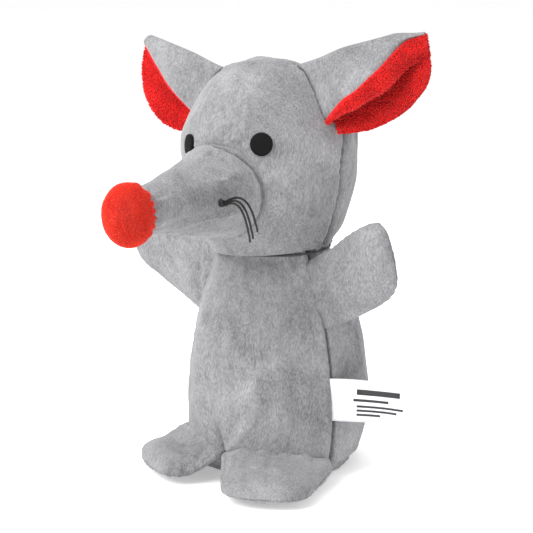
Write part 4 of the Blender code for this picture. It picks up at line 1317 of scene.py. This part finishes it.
# ------------------------------------------------------------------ studio
class Studio:
    """A plain pale floor, soft lights and the camera."""

    target = Vector((0.0, 0.0, 0.115))
    azimuth, elevation, distance = math.radians(33), math.radians(12), 0.85

    def build(self) -> None:
        """Make the floor, the world, the lights and the camera."""
        bpy.ops.mesh.primitive_plane_add(size=40, location=(0, 0, -0.0003))
        floor = bpy.context.object
        floor.name = "floor"
        floor.data.materials.append(self.paint())
        world = bpy.data.worlds.new("white_room")
        bpy.context.scene.world = world
        world.use_nodes = True
        tree = Tree(world.node_tree)
        light = tree.add("ShaderNodeBackground", {"Color": (1, 1, 1, 1), "Strength": 0.70})
        tree.link(light.outputs[0], tree.add("ShaderNodeOutputWorld").inputs[0])
        self.lamp("key", -0.80, 0.85, 0.60, 0.7, 17.0)
        self.lamp("fill", 0.8, 0.35, 0.7, 0.9, 1.2)
        self.lamp("top", -0.1, 1.2, -0.3, 1.0, 8.0)
        camera = bpy.data.cameras.new("camera")
        obj = bpy.data.objects.new("camera", camera)
        bpy.context.scene.collection.objects.link(obj)
        away = Vector((math.sin(self.azimuth) * math.cos(self.elevation),
                       -math.cos(self.azimuth) * math.cos(self.elevation), math.sin(self.elevation)))
        obj.location = self.target + away * self.distance
        obj.rotation_euler = (-away).to_track_quat("-Z", "Y").to_euler()
        camera.sensor_width, camera.lens = 36.0, 110.4
        camera.shift_x, camera.shift_y = -0.016, -0.0385
        camera.clip_start = 0.05
        bpy.context.scene.camera = obj
        bpy.context.scene.view_settings.view_transform = "Standard"

    def lamp(self, name: str, right: float, up: float, near: float, size: float, power: float) -> None:
        """A square soft lamp aimed at the toy, placed to the camera's right, up and nearer to it."""
        across = Vector((math.cos(self.azimuth), math.sin(self.azimuth), 0))
        fore = Vector((math.sin(self.azimuth), -math.cos(self.azimuth), 0))
        light = bpy.data.lights.new(name, "AREA")
        light.energy, light.size = power, size
        obj = bpy.data.objects.new(name, light)
        bpy.context.scene.collection.objects.link(obj)
        obj.location = self.target + across * right + fore * near + Vector((0, 0, up))
        obj.rotation_euler = (self.target - obj.location).to_track_quat("-Z", "Y").to_euler()

    def paint(self) -> bpy.types.Material:
        """A matt white floor with a very faint unevenness."""
        material, t, place = material_tree("floor_paint")
        noise = t.add("ShaderNodeTexNoise", {"Vector": place, "Scale": 3.0})
        shade = t.mix(noise.outputs["Fac"], (0.93, 0.93, 0.93), (0.95, 0.95, 0.95))
        shader = t.add("ShaderNodeBsdfPrincipled",
                       {"Base Color": shade, "Roughness": 0.9, "Emission Color": (1, 1, 1, 1),
                        "Emission Strength": 0.32})
        t.add("ShaderNodeOutputMaterial", {0: shader.outputs[0]})
        return material


# ------------------------------------------------------------------ the whole toy
class Mouse:
    """The stuffed mouse, piece by piece."""

    def __init__(self, looks: Finishes):
        """Keep the finishes for every piece."""
        self.looks = looks
        self.body, self.head = Body(), Head(cloth=Cloth(most=0.0020))
        self.snout = Snout(head=self.head, cloth=Cloth(most=0.0016))
        self.nose = Nose(snout=self.snout, cloth=Cloth(most=0.0006), uneven=0.3)

    def trunk(self) -> None:
        """Body, head, snout and nose."""
        looks = self.looks
        for skin, look, slot, body, fill, nodes in (
                (self.body, looks.grey, "grey_plush", "torso", 0.85,
                 ("body_front_panel", "body_back_left_panel", "body_back_right_panel", "body_base_panel",
                  "body_stuffing")),
                (self.head, looks.grey, "grey_plush", "head", 0.85,
                 ("face_panel", "head_back_left_panel", "head_back_right_panel", "head_stuffing")),
                (self.snout, looks.grey, "grey_plush", "head", 0.85, ("muzzle_panel", "muzzle_stuffing")),
                (self.nose, looks.felt, "red_felt", "head", 0.9, ("nose_cap", "nose_stuffing"))):
            obj = finished(skin.build(), look)
            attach(obj, body)
            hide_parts(*nodes)
        down = Tufts(long=0.0008, thick=0.00030, density=7.0e6, lean=0.9, seed=11)
        fuzz = finished(down.build("nose_fuzz", obj, looks.felt), looks.felt)
        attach(fuzz, "head")
        ring, high = 0.0332, 0.1159
        tilt = math.asin((high - BALL) / ring)
        bpy.ops.mesh.primitive_torus_add(major_radius=ring * math.cos(tilt), minor_radius=0.0005,
                                         major_segments=96, minor_segments=10, location=(0, 0, 0))
        thread = bpy.context.object
        thread.name = thread.data.name = "neck_ring"
        thread.data.transform(Matrix.Translation((0, 0, high)))
        thread.data.polygons.foreach_set("use_smooth", np.ones(len(thread.data.polygons), bool))
        finished(thread, looks.stitch)
        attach(thread, "neck")
        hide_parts("neck_thread")

    def limbs(self) -> None:
        """Arms and feet."""
        for limb, part in ((arm(Side.LEFT, 0.0950, 31.0, 0.0520, 0.0208, 0.45), "panel"),
                           (arm(Side.RIGHT, 0.0940, 29.0, 0.0580, 0.0182, 0.5), "panel"),
                           (foot(Side.LEFT, 34.0, 20.0, 0.0385, 0.0275, 0.0125, 0.13), "pad"),
                           (foot(Side.RIGHT, 34.0, 33.0, 0.0290, 0.0275, 0.0150, 0.02), "pad")):
            obj = finished(limb.build(), self.looks.grey)
            word = limb.name
            obj.name = obj.data.name = f"{word}_skin"
            root = limb.placed(np.array([0.004 + limb.root, 0, limb.neck[1][4]]))
            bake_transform(obj)
            panels = ("front_panel", "back_panel") if part == "panel" else ("top_panel", "sole_panel")
            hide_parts(*(f"{word}_{p}" for p in panels), f"{word}_stuffing")

    def face(self) -> None:
        """Eyes and whiskers."""
        for side in Side:
            eye = finished(Eye(side, self.head).build(), self.looks.eye)
            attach(eye, "head")
            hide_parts(f"eye_{side.word}")
            knot, threads = Whiskers(side, self.snout).build()
            finished(knot, self.looks.wax)
            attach(knot, "head")
            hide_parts(f"whisker_knot_{side.word}")
            for number, (obj, length, start) in enumerate(threads, 1):
                obj.data.materials.append(self.looks.wax)
                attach(obj, "head")
                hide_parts(f"whisker_{side.word}_{number}")

    def ears(self) -> None:
        """Both ears."""
        left = Ear(Side.LEFT, self.head, (0.0645, 0.009, 0.0135), open=15.0, blunt=0.25, rear=0.90,
                   rim=((0.05, 0.02), (0.25, 0.05), (0.42, 0.10), (0.55, 0.14), (0.67, 0.18), (0.80, 0.20),
                        (0.90, 0.19), (1.0, 0.15)),
                   outline=((-0.05, 0.55, 0.50), (0.09, 0.60, 0.47), (0.25, 0.63, 0.43),
                            (0.42, 0.65, 0.38), (0.55, 0.64, 0.30), (0.67, 0.61, 0.22),
                            (0.78, 0.56, 0.12), (0.86, 0.50, 0.04), (0.93, 0.44, 0.02),
                            (0.985, 0.34, 0.015), (1.0, 0.22, 0.01)))
        for ear in (left, Ear(Side.RIGHT, self.head, (0.054, 0.0094, 0.017))):
            word = ear.side.word
            outer, lining = ear.build()
            start, end = ear.hinge()
            # Painted shade on the grey cloth where the ear lies against the head, through the same seam
            # darkening.
            skin = surface_of(bpy.data.objects["head_skin"])
            far = np.array([skin.find_nearest(v.co)[3] for v in outer.data.vertices])
            outer.data.attributes.new("painted_seam_shade", "FLOAT", "POINT").data.foreach_set(
                "value", np.exp(-(far / 0.0010) ** 2))
            for obj, look, slot, node in ((outer, self.looks.grey, "grey_plush", "outer"),
                                          (lining, self.looks.red, "red_plush", "lining")):
                finished(obj, look)
                if node == "lining":
                    pile = Tufts(seed=20 + ear.side.value).build(f"ear_{word}_pile", obj, look,
                                                                 len(obj.data.vertices) // 2, outer)
                    finished(pile, look)
                    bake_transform(pile)
                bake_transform(obj)
                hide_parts(f"ear_{word}_{node}")

    def tag(self) -> None:
        """The label."""
        label = Label()
        tape, ink = label.build()
        start, end = label.hinge()
        finished(tape, self.looks.satin)
        finished(ink, self.looks.print)
        for obj in (tape, ink):
            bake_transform(obj)
            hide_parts("label")


def main() -> None:
    """Build the toy and its studio."""
    logging.basicConfig(level=logging.INFO, format="%(name)s: %(message)s")
    mouse = Mouse(Finishes())
    mouse.trunk()
    mouse.face()
    mouse.tag()
    mouse.ears()
    mouse.limbs()
    Studio().build()


if __name__ == "__main__":
    main()
